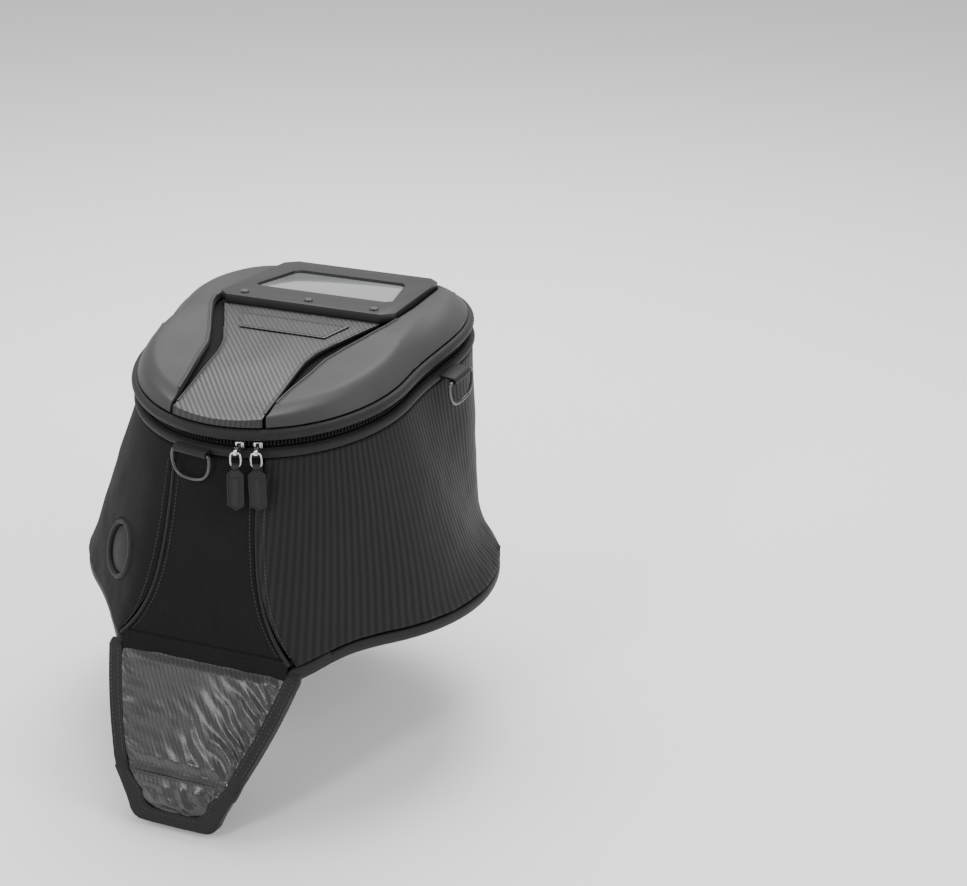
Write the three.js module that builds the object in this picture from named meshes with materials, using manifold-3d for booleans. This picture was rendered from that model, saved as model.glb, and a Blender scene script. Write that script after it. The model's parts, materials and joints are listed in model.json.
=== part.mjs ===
// Motorcycle tank bag: a round soft body with a moulded, zipped lid that hinges at the front,
// a map pocket on the lid, and a padded tongue that hangs over the rear of the tank.
// Millimetres. X is the rider's right, Y is forward, Z is up. The origin is on the underside
// of the base, below the centre of the round rear end of the lid.
import * as THREE from 'three';
import { mergeVertices } from 'three/addons/utils/BufferGeometryUtils.js';
import Module from 'manifold-3d';

// ---------------------------------------------------------------- driving dimensions
const GAP = 0.3;                    // clearance between pieces that touch

// the ring: the line round the lid that the welt, the zip and the rim band follow
const RING_RADIUS = 124;            // the rear half of the ring is round
const RING_FRONT_REACH = 212;       // from the ring's centre to its front edge
const RING_FRONT_SQUARENESS = 3.4;  // power of the superellipse of the front half
const RING_SIDE_BULGE = 14;         // how much wider than the round end the sides are
const RING_HEIGHT = 195;            // the welt's height above the base at the ring's centre
const RING_TILT = 6.2;              // degrees that the ring climbs towards the front
const RING_SAG_START = 60;          // the front of the ring bends down beyond this
const RING_SAG = 0.0009;            // mm of drop per square mm beyond that start

// the base
const BASE_HALF_WIDTH = 188;
const BASE_CENTRE_Y = 10;           // where the base is widest
const BASE_REAR_REACH = 155;        // from there to the back, if the rear were round
const BASE_FRONT_REACH = 162;       // from there to the front edge
const BASE_REAR_Y = -158;           // the straight rear edge, where the tongue folds
const BASE_REAR_HALF = 79;          // half length of that edge
const CORNER_ANGLE = 26.6;          // direction of the rear corner, degrees from straight back
const ROUND_ANGLE = 45;             // where the round side of the base begins
const MAT_THICKNESS = 2;
const BOARD_THICKNESS = 2.6;
const FLOOR_THICKNESS = 4;

// body panels
const PANEL_THICKNESS = 3;
const STIFFENER_THICKNESS = 2;
const FRONT_SEAM_ANGLE = 150;
const PIPING_RADIUS = 1.7;
const BINDING_HEIGHT = 11;
const BINDING_THICKNESS = 5;
const REAR_HEM_Z = 1.5;             // bottom of the rear panel
const SIDE_HEM_Z = 14.5;             // bottom of the side panels, above the binding

// welts, zip and rim band, as heights from the ring line
const WELT_WIDTH = 9;
const WELT_HEIGHT = 10;
const WELT_PROUD = 0.5;             // how far the welt stands out of the ring line
const ZIP_DROP = 8.5;               // the zip's closing line, below the ring line
const ZIP_END_ANGLE = 158;
const TOOTH_HEIGHT = 1.8;
const TOOTH_DEPTH = 3;
const TAPE_THICKNESS = 1;
const TAPE_HEIGHT = 12;
const BAND_TOP = 12;
const BAND_HEIGHT = 9;

// lid
const SKIN_THICKNESS = 2.5;
const SHELL_DEPTH = 5.2;            // the foam shell lies this far under the skins' faces
const SHELL_THICKNESS = 3;
const LINING_THICKNESS = 1;
const CREST_HALF_WIDTH = RING_RADIUS - 16;        // outline of the lid's crest
const CREST_REAR_REACH = RING_RADIUS - 6;
const CREST_FRONT_REACH = RING_FRONT_REACH - 14;
const CREST_RISE_REAR = 12.5;       // the crest's height above the ring line
const CREST_RISE_SIDE = 22;
const CREST_RISE_FRONT = 9;
const CHANNEL_HALF_REAR = 40;       // the ribbed panel down the middle
const CHANNEL_HALF_FRONT = 75;
const CHANNEL_KNEE_Y = -20;         // where it begins to flare
const CHANNEL_CROWN = 3;
const CHANNEL_END_ANGLE = 19.8;
const WING_START_ANGLE = 21.4;

// map pocket
const BEZEL_NEAR_Y = 48;
const BEZEL_FAR_Y = 180;
const BEZEL_NEAR_HALF = 83;
const BEZEL_FAR_HALF = 77;
const BEZEL_THICKNESS = 7;
const BEZEL_CORNER = 10;
const BEZEL_SEAT_Z = RING_HEIGHT + 29.5;          // underside of the frame at its near edge
const BEZEL_FALL = 0.096;           // slope of the frame down towards the front
const WINDOW_NEAR_MARGIN = 39;
const WINDOW_FAR_MARGIN = 28;
const WINDOW_NEAR_HALF = 66;
const WINDOW_FAR_HALF = 55;
const WINDOW_THICKNESS = 1.5;
const GASKET_WIDTH = 6;
const GASKET_THICKNESS = 2.4;
const TRAY_THICKNESS = 2;
const SCREW_SPACING = 62;
const SCREW_MARGIN = 13;            // from the frame's near edge
const SCREW_RADIUS = 1.6;
const SCREW_HEAD_RADIUS = 4.2;
const SCREW_HEAD_HEIGHT = 1.8;

// zip sliders and pulls
const SLIDER_ANGLES = { left: 10.7, right: 17.8 };
const SLIDER_WIDTH = 7;
const LUG_REACH = 9.5;              // where the bail hangs, out from the ring line
const BAIL_WIRE = 0.9;
const BAIL_HALF_WIDTH = 4.4;
const BAIL_LENGTH = 11;
const PULL_WIDTH = 13.5;
const PULL_LENGTH = 36;
const PULL_THICKNESS = 3;
const PULL_LEAN = 16;               // degrees that the pull leans out

// D-rings
const RING_WIRE = 1.6;
const RING_HALF_WIDTH = 18.4;
const RING_DROP = 24;
const LOOP_RADIUS = 3.4;
const LOOP_CLEARANCE = 0.4;
const REAR_RING = { angle: -8.2, loop: 32, reach: 4.2, lean: 11.5 };
const FRONT_RING = { angle: 113.6, loop: 25, reach: 14, lean: 0 };

// port in the left side panel
const PORT_ANGLE = -36;
const PORT_HEIGHT = 0.31;           // share of the panel's height
const PORT_RADIUS = 26;
const PORT_LIP = 5;

// tongue
const TONGUE_HINGE_Z = -3;
const TONGUE_SLOPE = 54.5;          // degrees below level
const TONGUE_LENGTH = 98;
const TONGUE_HALF_TOP = 76;
const TONGUE_HALF_FOLD = 44.6;
const TIP_SLOPE = 77;
const TIP_LENGTH = 33;
const TIP_HALF_END = 30;
const PAD_THICKNESS = 5;
const BACKING_THICKNESS = 2;
const EDGE_WIDTH = 12;
const EDGE_THICKNESS = 7.6;
const FOLD_CLEARANCE = 3;

// ---------------------------------------------------------------- small maths
const rad = (degrees) => degrees * Math.PI / 180;
const mix = (a, b, t) => a + (b - a) * t;
const clamp01 = (t) => Math.min(1, Math.max(0, t));
const smooth = (t) => clamp01(t) ** 2 * (3 - 2 * clamp01(t));
const V = (x, y, z) => new THREE.Vector3(x, y, z);

function interpolate(table, at) {
  const last = table.length - 1;
  if (at <= table[0][0]) return table[0].slice(1);
  if (at >= table[last][0]) return table[last].slice(1);
  const i = table.findIndex((row) => row[0] > at);
  const [low, high] = [table[i - 1], table[i]];
  const t = (at - low[0]) / (high[0] - low[0]);
  return low.slice(1).map((value, k) => mix(value, high[k + 1], t));
}

// ---------------------------------------------------------------- outlines
const TILT = rad(RING_TILT);
const RING_UP = V(0, -Math.sin(TILT), Math.cos(TILT));

function superRadius(angle, halfWidth, reach, power) {
  const across = Math.abs(Math.sin(angle)) / halfWidth;
  const along = Math.abs(Math.cos(angle)) / reach;
  return (across ** power + along ** power) ** (-1 / power);
}

// Plan of an outline with a round rear and a squarer front. Angle 0 is straight back.
function roundedPlan(degrees, halfWidth, rearReach, frontReach, bulge) {
  const angle = rad(degrees);
  const behind = Math.cos(angle) > 0;
  const reach = behind ? rearReach : frontReach;
  const power = behind ? 2 : RING_FRONT_SQUARENESS;
  const radius = superRadius(angle, halfWidth, reach, power);
  const y = -radius * Math.cos(angle);
  const swell = behind ? 0 : bulge * Math.sin(Math.PI * clamp01(y / frontReach)) ** 2;
  const side = Math.sign(Math.sin(angle));
  return new THREE.Vector2(radius * Math.sin(angle) + side * swell, y);
}

const ringPlan = (degrees) =>
  roundedPlan(degrees, RING_RADIUS, RING_RADIUS, RING_FRONT_REACH, RING_SIDE_BULGE);

function basePlan(degrees) {
  const turn = ((degrees + 540) % 360) - 180;
  const side = Math.sign(turn) || 1;
  const angle = Math.abs(turn);
  if (angle <= CORNER_ANGLE) {
    return new THREE.Vector2(side * BASE_REAR_HALF * angle / CORNER_ANGLE, BASE_REAR_Y);
  }
  const reach = angle > 90 ? BASE_FRONT_REACH : BASE_REAR_REACH;
  const round = (a) => new THREE.Vector2(
    side * BASE_HALF_WIDTH * Math.sin(rad(a)), BASE_CENTRE_Y - reach * Math.cos(rad(a)));
  if (angle >= ROUND_ANGLE) return round(angle);
  const corner = new THREE.Vector2(side * BASE_REAR_HALF, BASE_REAR_Y);
  return corner.lerp(round(ROUND_ANGLE), (angle - CORNER_ANGLE) / (ROUND_ANGLE - CORNER_ANGLE));
}

function planNormal(plan, degrees) {
  const along = plan(degrees + 0.5).sub(plan(degrees - 0.5)).normalize();
  return new THREE.Vector2(along.y, -along.x);
}

function offsetPlan(plan, degrees, outset) {
  return plan(degrees).addScaledVector(planNormal(plan, degrees), outset);
}

// A point of the tilted ring plane, moved out from the ring line and up along the plane's normal.
function ringPoint(degrees, outset = 0, rise = 0) {
  const flat = offsetPlan(ringPlan, degrees, outset);
  const y = flat.y * Math.cos(TILT);
  const sag = RING_SAG * Math.max(0, y - RING_SAG_START) ** 2;
  const z = RING_HEIGHT + flat.y * Math.sin(TILT) - sag;
  return V(flat.x, y, z).addScaledVector(RING_UP, rise);
}

const ringZ = (y) => RING_HEIGHT + y * Math.tan(TILT) - RING_SAG * Math.max(0, y - RING_SAG_START) ** 2;

// ---------------------------------------------------------------- meshes
function closedGeometry(vertices, faces) {
  const geometry = new THREE.BufferGeometry();
  geometry.setAttribute('position', new THREE.Float32BufferAttribute(vertices.flatMap((p) => [p.x, p.y, p.z]), 3));
  geometry.setIndex(faces.flat());
  return sealed(geometry);
}

// Merges doubled vertices, drops faces with no area and turns the faces outwards.
function sealed(source) {
  const bare = source.clone();
  bare.deleteAttribute('normal');
  bare.deleteAttribute('uv');
  const geometry = mergeVertices(bare, 1e-4);
  const index = geometry.index.array;
  const kept = [];
  for (let i = 0; i < index.length; i += 3) {
    const [a, b, c] = [index[i], index[i + 1], index[i + 2]];
    if (a !== b && b !== c && c !== a) kept.push([a, b, c]);
  }
  const flipped = signedVolume(geometry, kept) < 0;
  geometry.setIndex(kept.flatMap(([a, b, c]) => (flipped ? [a, c, b] : [a, b, c])));
  geometry.computeVertexNormals();
  return geometry;
}

function signedVolume(geometry, faces) {
  const position = geometry.attributes.position;
  const corner = (i) => new THREE.Vector3().fromBufferAttribute(position, i);
  return faces.reduce((sum, [a, b, c]) => sum + corner(a).dot(corner(b).cross(corner(c))), 0);
}

// Joins sections, each an even list of points whose first half faces its second half.
function loft(sections, closed = false) {
  const size = sections[0].length;
  const at = (i, j) => (i % sections.length) * size + (j % size);
  const faces = [];
  const last = closed ? sections.length : sections.length - 1;
  for (let i = 0; i < last; i += 1) {
    for (let j = 0; j < size; j += 1) {
      faces.push([at(i, j), at(i + 1, j), at(i + 1, j + 1)], [at(i, j), at(i + 1, j + 1), at(i, j + 1)]);
    }
  }
  if (!closed) {
    const end = sections.length - 1;
    for (let j = 0; j < size / 2 - 1; j += 1) {
      const k = size - 1 - j;
      faces.push([at(0, j), at(0, j + 1), at(0, k - 1)], [at(0, j), at(0, k - 1), at(0, k)]);
      faces.push([at(end, j), at(end, k - 1), at(end, j + 1)], [at(end, j), at(end, k), at(end, k - 1)]);
    }
  }
  return closedGeometry(sections.flat(), faces);
}

const steps = (count, from = 0, to = 1) =>
  Array.from({ length: count + 1 }, (_, i) => mix(from, to, i / count));

// A plate of even thickness whose outer face is a surface of two parameters from 0 to 1.
function plate(surface, across, along, thickness, depth = 0) {
  return loft(steps(across).map((u) => {
    const column = steps(along);
    const outer = column.map((v) => sunk(surface, u, v, depth));
    const inner = column.map((v) => sunk(surface, u, v, depth + thickness)).reverse();
    return [...outer, ...inner];
  }));
}

const CORE = V(0, 30, 90);          // a point well inside the bag

// A point below a surface, along the surface's own normal.
function sunk(surface, u, v, depth) {
  const e = 0.01;
  const point = surface(u, v);
  const du = surface(u + e, v).sub(surface(u - e, v));
  const dv = surface(u, v + e).sub(surface(u, v - e));
  const normal = du.cross(dv).normalize();
  const inward = CORE.clone().sub(point).dot(normal) > 0 ? 1 : -1;
  return point.addScaledVector(normal, inward * depth);
}

// A strip along the ring whose section is a list of [outset, rise] corners.
function ringStrip(section, from, to, count, closed = false) {
  const angles = steps(count, from, to);
  if (closed) angles.pop();
  return loft(angles.map((a) => section.map(([outset, rise]) => ringPoint(a, outset, rise))), closed);
}

const box = (out0, out1, rise0, rise1) => [[out0, rise0], [out1, rise0], [out1, rise1], [out0, rise1]];

function oval(centre, halfWidth, halfHeight, sides = 8) {
  return steps(sides, 0, 2 * Math.PI).slice(0, sides).map((t) =>
    [centre[0] + halfWidth * Math.cos(t + Math.PI / sides), centre[1] + halfHeight * Math.sin(t + Math.PI / sides)]);
}

function tube(points, radius, sides, count) {
  const curve = new THREE.CatmullRomCurve3(points, false, 'centripetal');
  const circle = new THREE.Shape().setFromPoints(steps(sides, 0, 2 * Math.PI).slice(0, sides).map((t) =>
    new THREE.Vector2(radius * Math.cos(t), radius * Math.sin(t))));
  return sealed(new THREE.ExtrudeGeometry(circle, { steps: count, bevelEnabled: false, extrudePath: curve }));
}

function slab(points, z0, z1, holes = []) {
  const shape = new THREE.Shape(points);
  shape.holes = holes.map((hole) => new THREE.Path(hole));
  const geometry = new THREE.ExtrudeGeometry(shape, { depth: z1 - z0, bevelEnabled: false, steps: 1 });
  geometry.translate(0, 0, z0);
  return sealed(geometry);
}

function rod(radius, length, sides = 16) {
  const geometry = new THREE.CylinderGeometry(radius, radius, length, sides);
  geometry.rotateZ(Math.PI / 2);
  return sealed(geometry);
}

function block(sizeX, sizeY, sizeZ, x, y, z) {
  const geometry = new THREE.BoxGeometry(sizeX, sizeY, sizeZ);
  geometry.translate(x, y, z);
  return sealed(geometry);
}

// ---------------------------------------------------------------- joining and cutting
const wasm = await Module();
wasm.setup();

function toSolid(geometry) {
  const vertProperties = new Float32Array(geometry.attributes.position.array);
  const triVerts = new Uint32Array(geometry.index.array);
  return new wasm.Manifold(new wasm.Mesh({ numProp: 3, vertProperties, triVerts }));
}

function fromSolid(solid) {
  const mesh = solid.getMesh();
  const geometry = new THREE.BufferGeometry();
  geometry.setAttribute('position', new THREE.BufferAttribute(new Float32Array(mesh.vertProperties), 3));
  geometry.setIndex(new THREE.BufferAttribute(new Uint32Array(mesh.triVerts), 1));
  return sealed(geometry);
}

const join = (first, ...others) => fromSolid(others.reduce((sum, g) => sum.add(toSolid(g)), toSolid(first)));
const cut = (body, ...tools) => fromSolid(tools.reduce((sum, g) => sum.subtract(toSolid(g)), toSolid(body)));

// ---------------------------------------------------------------- finishes
const finish = (color, roughness, metalness = 0) => () =>
  new THREE.MeshStandardMaterial({ color, roughness, metalness });
const FABRIC = finish(0x222325, 0.85);
const RIBBED = finish(0x2e3032, 0.8);
const WEBBING = finish(0x3b3c3e, 0.7);
const VINYL = finish(0x3a3c3e, 0.35);
const SHELL = finish(0x6a6c6e, 0.6);
const CHANNEL = finish(0x505254, 0.55);
const FRAME = finish(0x56585a, 0.5);
const CLEAR = finish(0xb8bcbe, 0.12);
const FOAM = finish(0x1a1a1b, 0.95);
const RUBBER = finish(0x141414, 0.8);
const STEEL = finish(0xc6c8ca, 0.25, 1);
const DARK_STEEL = finish(0x2a2a2b, 0.35, 0.8);
const LEATHER = finish(0x303133, 0.55);

const bag = new THREE.Group();

function add(name, geometry, material, parent = bag) {
  const mesh = new THREE.Mesh(geometry, material());
  mesh.name = name;
  parent.add(mesh);
  return mesh;
}

// ---------------------------------------------------------------- body panels
// How early the wall draws in from the base to the ring: 1 is straight, less flares at the hem.
const FLARE = [[0, 1.1], [30, 1], [65, 0.92], [112, 0.38], [150, 0.4], [180, 0.45]];
const PANEL_TOP_RISE = -(BAND_TOP + BAND_HEIGHT + 0.5);

function hemZ(degrees) {
  const angle = Math.abs(degrees);
  return mix(REAR_HEM_Z, SIDE_HEM_Z, smooth((angle - CORNER_ANGLE) / 14));
}

function wallPoint(degrees, height) {
  const s = clamp01(height);
  const top = ringPoint(degrees, -2, PANEL_TOP_RISE);
  const base = basePlan(degrees);
  const [power] = interpolate(FLARE, Math.abs(degrees));
  const w = s ** power;
  return V(mix(base.x, top.x, w), mix(base.y, top.y, w), mix(hemZ(degrees), top.z, height));
}

function seamAngle(height) {
  const s = clamp01(height);
  return 16.3 + (CORNER_ANGLE - 16.3) * (1 - s) ** 5 + 2.5 * s ** 6;
}

// Half the slot that the piping fills, as an angle.
const seamSlot = (PIPING_RADIUS + GAP) / 98 * 180 / Math.PI;
const frontSlot = 0.1;

const rearWall = (u, v) => wallPoint(mix(-1, 1, u) * (seamAngle(v) - seamSlot), v);
const sideWall = (side) => (u, v) =>
  wallPoint(side * mix(seamAngle(v) + seamSlot, FRONT_SEAM_ANGLE - frontSlot, u), v);
const frontWall = (u, v) => {
  const angle = mix(FRONT_SEAM_ANGLE + frontSlot, 360 - FRONT_SEAM_ANGLE - frontSlot, u);
  return wallPoint(angle > 180 ? angle - 360 : angle, v);
};

function portFrame() {
  const wall = (u, v) => wallPoint(PORT_ANGLE + (u - 0.5) * 10, PORT_HEIGHT + (v - 0.5) * 0.1);
  const centre = wall(0.5, 0.5);
  const inner = sunk(wall, 0.5, 0.5, 1);
  const normal = centre.clone().sub(inner).normalize();
  return { centre, turn: new THREE.Quaternion().setFromUnitVectors(V(0, 1, 0), normal) };
}

function atPort(geometry) {
  const { centre, turn } = portFrame();
  return geometry.clone().applyQuaternion(turn).translate(centre.x, centre.y, centre.z);
}

function portHole(radius) {
  return sealed(atPort(new THREE.CylinderGeometry(radius, radius, 40, 32)));
}

function buildPanels() {
  add('rear_panel', plate(rearWall, 10, 8, PANEL_THICKNESS), FABRIC);
  const right = plate(sideWall(1), 22, 8, PANEL_THICKNESS);
  const left = plate(sideWall(-1), 22, 8, PANEL_THICKNESS);
  add('side_panel_right', right, RIBBED);
  add('side_panel_left', cut(left, portHole(PORT_RADIUS + GAP)), FABRIC);
  add('front_panel', plate(frontWall, 10, 8, PANEL_THICKNESS), FABRIC);
}

function buildStiffeners() {
  const inset = (surface) => (u, v) => surface(mix(0.1, 0.9, u), mix(0.2, 0.9, v));
  for (const [name, side] of [['right', 1], ['left', -1]]) {
    const board = plate(inset(sideWall(side)), 18, 6, STIFFENER_THICKNESS, PANEL_THICKNESS + 4 * GAP);
    add(`side_stiffener_${name}`, side < 0 ? cut(board, portHole(PORT_RADIUS + 2)) : board, FOAM);
  }
}

function buildPiping() {
  for (const [name, side] of [['right', 1], ['left', -1]]) {
    const path = steps(12, 0.01, 0.99).map((v) => {
      const wall = (a, b) => wallPoint(side * seamAngle(b) + (a - 0.5) * 4, b);
      return sunk(wall, 0.5, v, -GAP);
    });
    add(`seam_piping_${name}`, tube(path, PIPING_RADIUS, 8, 18), WEBBING);
  }
}

function buildPort() {
  const lip = PORT_RADIUS - PORT_LIP;
  const ring = [[lip, -5], [PORT_RADIUS, -5], [PORT_RADIUS, 1.4], [PORT_RADIUS - 1.5, 3.4], [lip + 1, 3.4], [lip, 2.2], [lip, -5]];
  const disc = lip - GAP;
  const dome = [[0, -3], [disc, -3], [disc, 0], [disc * 0.7, 1.6], [disc * 0.35, 2.3], [0, 2.5]];
  const lathe = (profile) => new THREE.LatheGeometry(profile.map(([x, y]) => new THREE.Vector2(x, y)), 32);
  add('port_ring', sealed(atPort(lathe(ring))), RUBBER);
  add('port_membrane', sealed(atPort(lathe(dome))), RUBBER);
}

// ---------------------------------------------------------------- base
const insetBase = (inset, count = 72) =>
  steps(count, 0, 360).slice(0, count).map((a) => offsetPlan(basePlan, a, -inset));

function buildBase() {
  const boardZ = MAT_THICKNESS + GAP;
  const floorZ = boardZ + BOARD_THICKNESS + GAP;
  const matInset = BINDING_THICKNESS + 2 * GAP;
  add('base_mat', slab(insetBase(matInset), 0, MAT_THICKNESS), RUBBER);
  add('base_board', slab(insetBase(matInset + 3), boardZ, boardZ + BOARD_THICKNESS), FOAM);
  add('floor_liner', slab(insetBase(matInset + 8), floorZ, floorZ + FLOOR_THICKNESS), FOAM);
}

function baseBinding(from, to, count) {
  const half = BINDING_HEIGHT / 2;
  const profile = oval([WELT_PROUD - BINDING_THICKNESS / 2, 0], BINDING_THICKNESS / 2, half, 8);
  return loft(steps(count, from, to).map((a) => {
    const signed = a > 180 ? a - 360 : a;
    const middle = hemZ(signed) - PANEL_THICKNESS - half;
    return profile.map(([outset, rise]) => {
      const flat = offsetPlan(basePlan, a, outset);
      return V(flat.x, flat.y, middle + rise);
    });
  }));
}

function buildBinding() {
  const start = CORNER_ANGLE + 2;
  const seam = FRONT_SEAM_ANGLE;
  add('base_binding_right', baseBinding(start, seam - frontSlot, 26), WEBBING);
  add('base_binding_left', baseBinding(360 - seam + frontSlot, 360 - start, 26), WEBBING);
  add('base_binding_front', baseBinding(seam + frontSlot, 360 - seam - frontSlot, 12), WEBBING);
}

// ---------------------------------------------------------------- welts, zip and hinge
function buildRing() {
  const centre = WELT_PROUD - WELT_WIDTH / 2;
  const inner = WELT_PROUD - WELT_WIDTH;
  const tapeOut = inner - 2 * GAP;
  const toothOut = inner + TOOTH_DEPTH;
  const half = GAP / 2;
  add('lid_welt', ringStrip(oval([centre, 0], WELT_WIDTH / 2, WELT_HEIGHT / 2), 0, 360, 60, true), WEBBING);
  const bandMiddle = -BAND_TOP - BAND_HEIGHT / 2;
  add('rim_band', ringStrip(oval([centre, bandMiddle], WELT_WIDTH / 2, BAND_HEIGHT / 2), 0, 360, 60, true), WEBBING);
  for (const [name, way] of [['upper', 1], ['lower', -1]]) {
    const start = -ZIP_DROP + way * half;
    const tooth = box(toothOut - TOOTH_DEPTH, toothOut, start, start + way * TOOTH_HEIGHT);
    const tape = box(tapeOut - TAPE_THICKNESS, tapeOut, start, start + way * TAPE_HEIGHT);
    add(`zip_teeth_${name}`, ringStrip(tooth, -ZIP_END_ANGLE, ZIP_END_ANGLE, 52), DARK_STEEL);
    add(`zip_tape_${name}`, ringStrip(tape, -ZIP_END_ANGLE, ZIP_END_ANGLE, 52), FABRIC);
  }
  const hingeTop = -ZIP_DROP - 2 * GAP;
  const strip = box(WELT_PROUD + GAP, WELT_PROUD + GAP + 1.4, hingeTop, -BAND_TOP - BAND_HEIGHT);
  add('hinge_strip', ringStrip(strip, ZIP_END_ANGLE, 360 - ZIP_END_ANGLE, 10), FABRIC);
}

// ---------------------------------------------------------------- lid
const crestPlan = (degrees) =>
  roundedPlan(degrees, CREST_HALF_WIDTH, CREST_REAR_REACH, CREST_FRONT_REACH, RING_SIDE_BULGE / 2);

function crestZ(y) {
  const rise = y < 0
    ? mix(CREST_RISE_SIDE, CREST_RISE_REAR, (y / CREST_REAR_REACH) ** 2)
    : mix(CREST_RISE_SIDE, CREST_RISE_FRONT, (y / CREST_FRONT_REACH) ** 3);
  return ringZ(y) + rise;
}

const seatZ = (y) => BEZEL_SEAT_Z - BEZEL_FALL * (y - BEZEL_NEAR_Y);

function spineZ(y) {
  if (y > BEZEL_NEAR_Y) return seatZ(y);
  const t = (y + CREST_REAR_REACH) / (BEZEL_NEAR_Y + CREST_REAR_REACH);
  return mix(crestZ(-CREST_REAR_REACH), BEZEL_SEAT_Z, t) + 4 * CHANNEL_CROWN * t * (1 - t);
}

// Height of the lid's top at a place inside the crest.
function topZ(x, y) {
  const degrees = Math.atan2(x, -y) * 180 / Math.PI;
  const share = Math.min(1, Math.hypot(x, y) / Math.max(1, crestPlan(degrees).length()));
  if (share < 1e-3) return spineZ(y);
  return mix(spineZ(y), crestZ(crestPlan(degrees).y), share ** 4);
}

// The lid's wall, from its bottom edge at 0 to the crest at 1.
function lidWall(degrees, t) {
  const foot = ringPoint(degrees, -5.5, WELT_HEIGHT / 2 + 3 * GAP);
  const crest = crestPlan(degrees);
  const lean = t ** 1.4;
  return V(mix(foot.x, crest.x, lean), mix(foot.y, crest.y, lean), mix(foot.z, crestZ(crest.y), t));
}

const WALL_SHARE = 0.3;             // share of a skin's rows that climb the wall

// Inner edge of a wing, by direction: past the channel's groove, then beside the map frame.
const WING_EDGE = [
  [WING_START_ANGLE, CHANNEL_HALF_REAR + 3, 26 - RING_RADIUS],
  [75, CHANNEL_HALF_REAR + 14, CHANNEL_KNEE_Y],
  [106, CHANNEL_HALF_FRONT + 9, BEZEL_NEAR_Y - 4],
  [112, BEZEL_NEAR_HALF + 4, BEZEL_NEAR_Y + 12],
  [152, BEZEL_FAR_HALF + 3, BEZEL_FAR_Y - 6],
  [159, BEZEL_FAR_HALF - 15, BEZEL_FAR_Y + 4],
  [180, 0, BEZEL_FAR_Y + 7],
];

function wingSurface(side) {
  return (u, v) => {
    const degrees = mix(WING_START_ANGLE, 180 - frontSlot, u);
    if (v < WALL_SHARE) {
      const p = lidWall(degrees, Math.max(0, v / WALL_SHARE));
      return V(side * p.x, p.y, p.z);
    }
    const t = (v - WALL_SHARE) / (1 - WALL_SHARE);
    const crest = crestPlan(degrees);
    const [x, y] = interpolate(WING_EDGE, degrees);
    const at = new THREE.Vector2(mix(crest.x, x, t), mix(crest.y, y, t));
    return V(side * at.x, at.y, topZ(at.x, at.y));
  };
}

const channelHalf = (y) =>
  mix(CHANNEL_HALF_REAR, CHANNEL_HALF_FRONT, clamp01((y - CHANNEL_KNEE_Y) / (BEZEL_NEAR_Y - CHANNEL_KNEE_Y)));

function channelSurface(u, v) {
  const across = mix(-1, 1, u);
  const degrees = across * CHANNEL_END_ANGLE;
  if (v < WALL_SHARE) return lidWall(degrees, Math.max(0, v / WALL_SHARE));
  const t = (v - WALL_SHARE) / (1 - WALL_SHARE);
  const crest = crestPlan(degrees);
  const y = mix(crest.y, BEZEL_NEAR_Y - 2, t);
  const x = mix(crest.x, across * channelHalf(y), smooth(t * 4));
  return V(x, y, topZ(x, y));
}

function lidDome(outerDepth, thickness) {
  const rows = [[0, 0], [0, 0.5], [0, 0.9], [1, 0.93], [1, 0.8], [1, 0.6], [1, 0.4], [1, 0.2], [1, 0]];
  const point = (degrees, [onTop, t], depth) => {
    const crest = crestPlan(degrees);
    const out = crest.clone().normalize();
    if (!onTop) {
      const wall = lidWall(degrees, t);
      return wall.add(V(-out.x * depth, -out.y * depth, -depth * t));
    }
    const flat = crest.addScaledVector(out, -depth).multiplyScalar(t);
    return V(flat.x, flat.y, topZ(flat.x, flat.y) - depth);
  };
  return loft(steps(48, 0, 360).slice(0, 48).map((a) => [
    ...rows.map((row) => point(a, row, outerDepth)),
    ...rows.map((row) => point(a, row, outerDepth + thickness)).reverse(),
  ]), true);
}

function buildLid() {
  add('lid_shell', lidDome(SHELL_DEPTH, SHELL_THICKNESS), FOAM);
  add('lid_lining', lidDome(SHELL_DEPTH + SHELL_THICKNESS + 5 * GAP, LINING_THICKNESS), FOAM);
  add('wing_right', plate(wingSurface(1), 26, 8, SKIN_THICKNESS), SHELL);
  add('wing_left', plate(wingSurface(-1), 26, 8, SKIN_THICKNESS), SHELL);
  add('channel_panel', plate(channelSurface, 10, 12, SKIN_THICKNESS), CHANNEL);
  const badge = (u, v) => {
    const y = mix(8, 32, v);
    const x = mix(-1, 1, u) * mix(40, 52, v);
    return V(x, y, topZ(x, y) + 1 + GAP);
  };
  add('badge_patch', plate(badge, 6, 3, 1), CHANNEL);
}

// ---------------------------------------------------------------- map pocket
const mapPocket = new THREE.Group();

function trapezoid(nearHalf, farHalf, near, far, corner) {
  const c = corner;
  return [
    [-nearHalf + c, near], [nearHalf - c, near], [nearHalf, near + c], [farHalf, far - c],
    [farHalf - c, far], [-farHalf + c, far], [-farHalf, far - c], [-nearHalf, near + c],
  ].map(([x, y]) => new THREE.Vector2(x, y));
}

const circle = (x, y, radius, sides = 16) => steps(sides, 0, 2 * Math.PI).slice(0, sides).map((t) =>
  new THREE.Vector2(x + radius * Math.cos(t), y + radius * Math.sin(t)));

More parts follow.
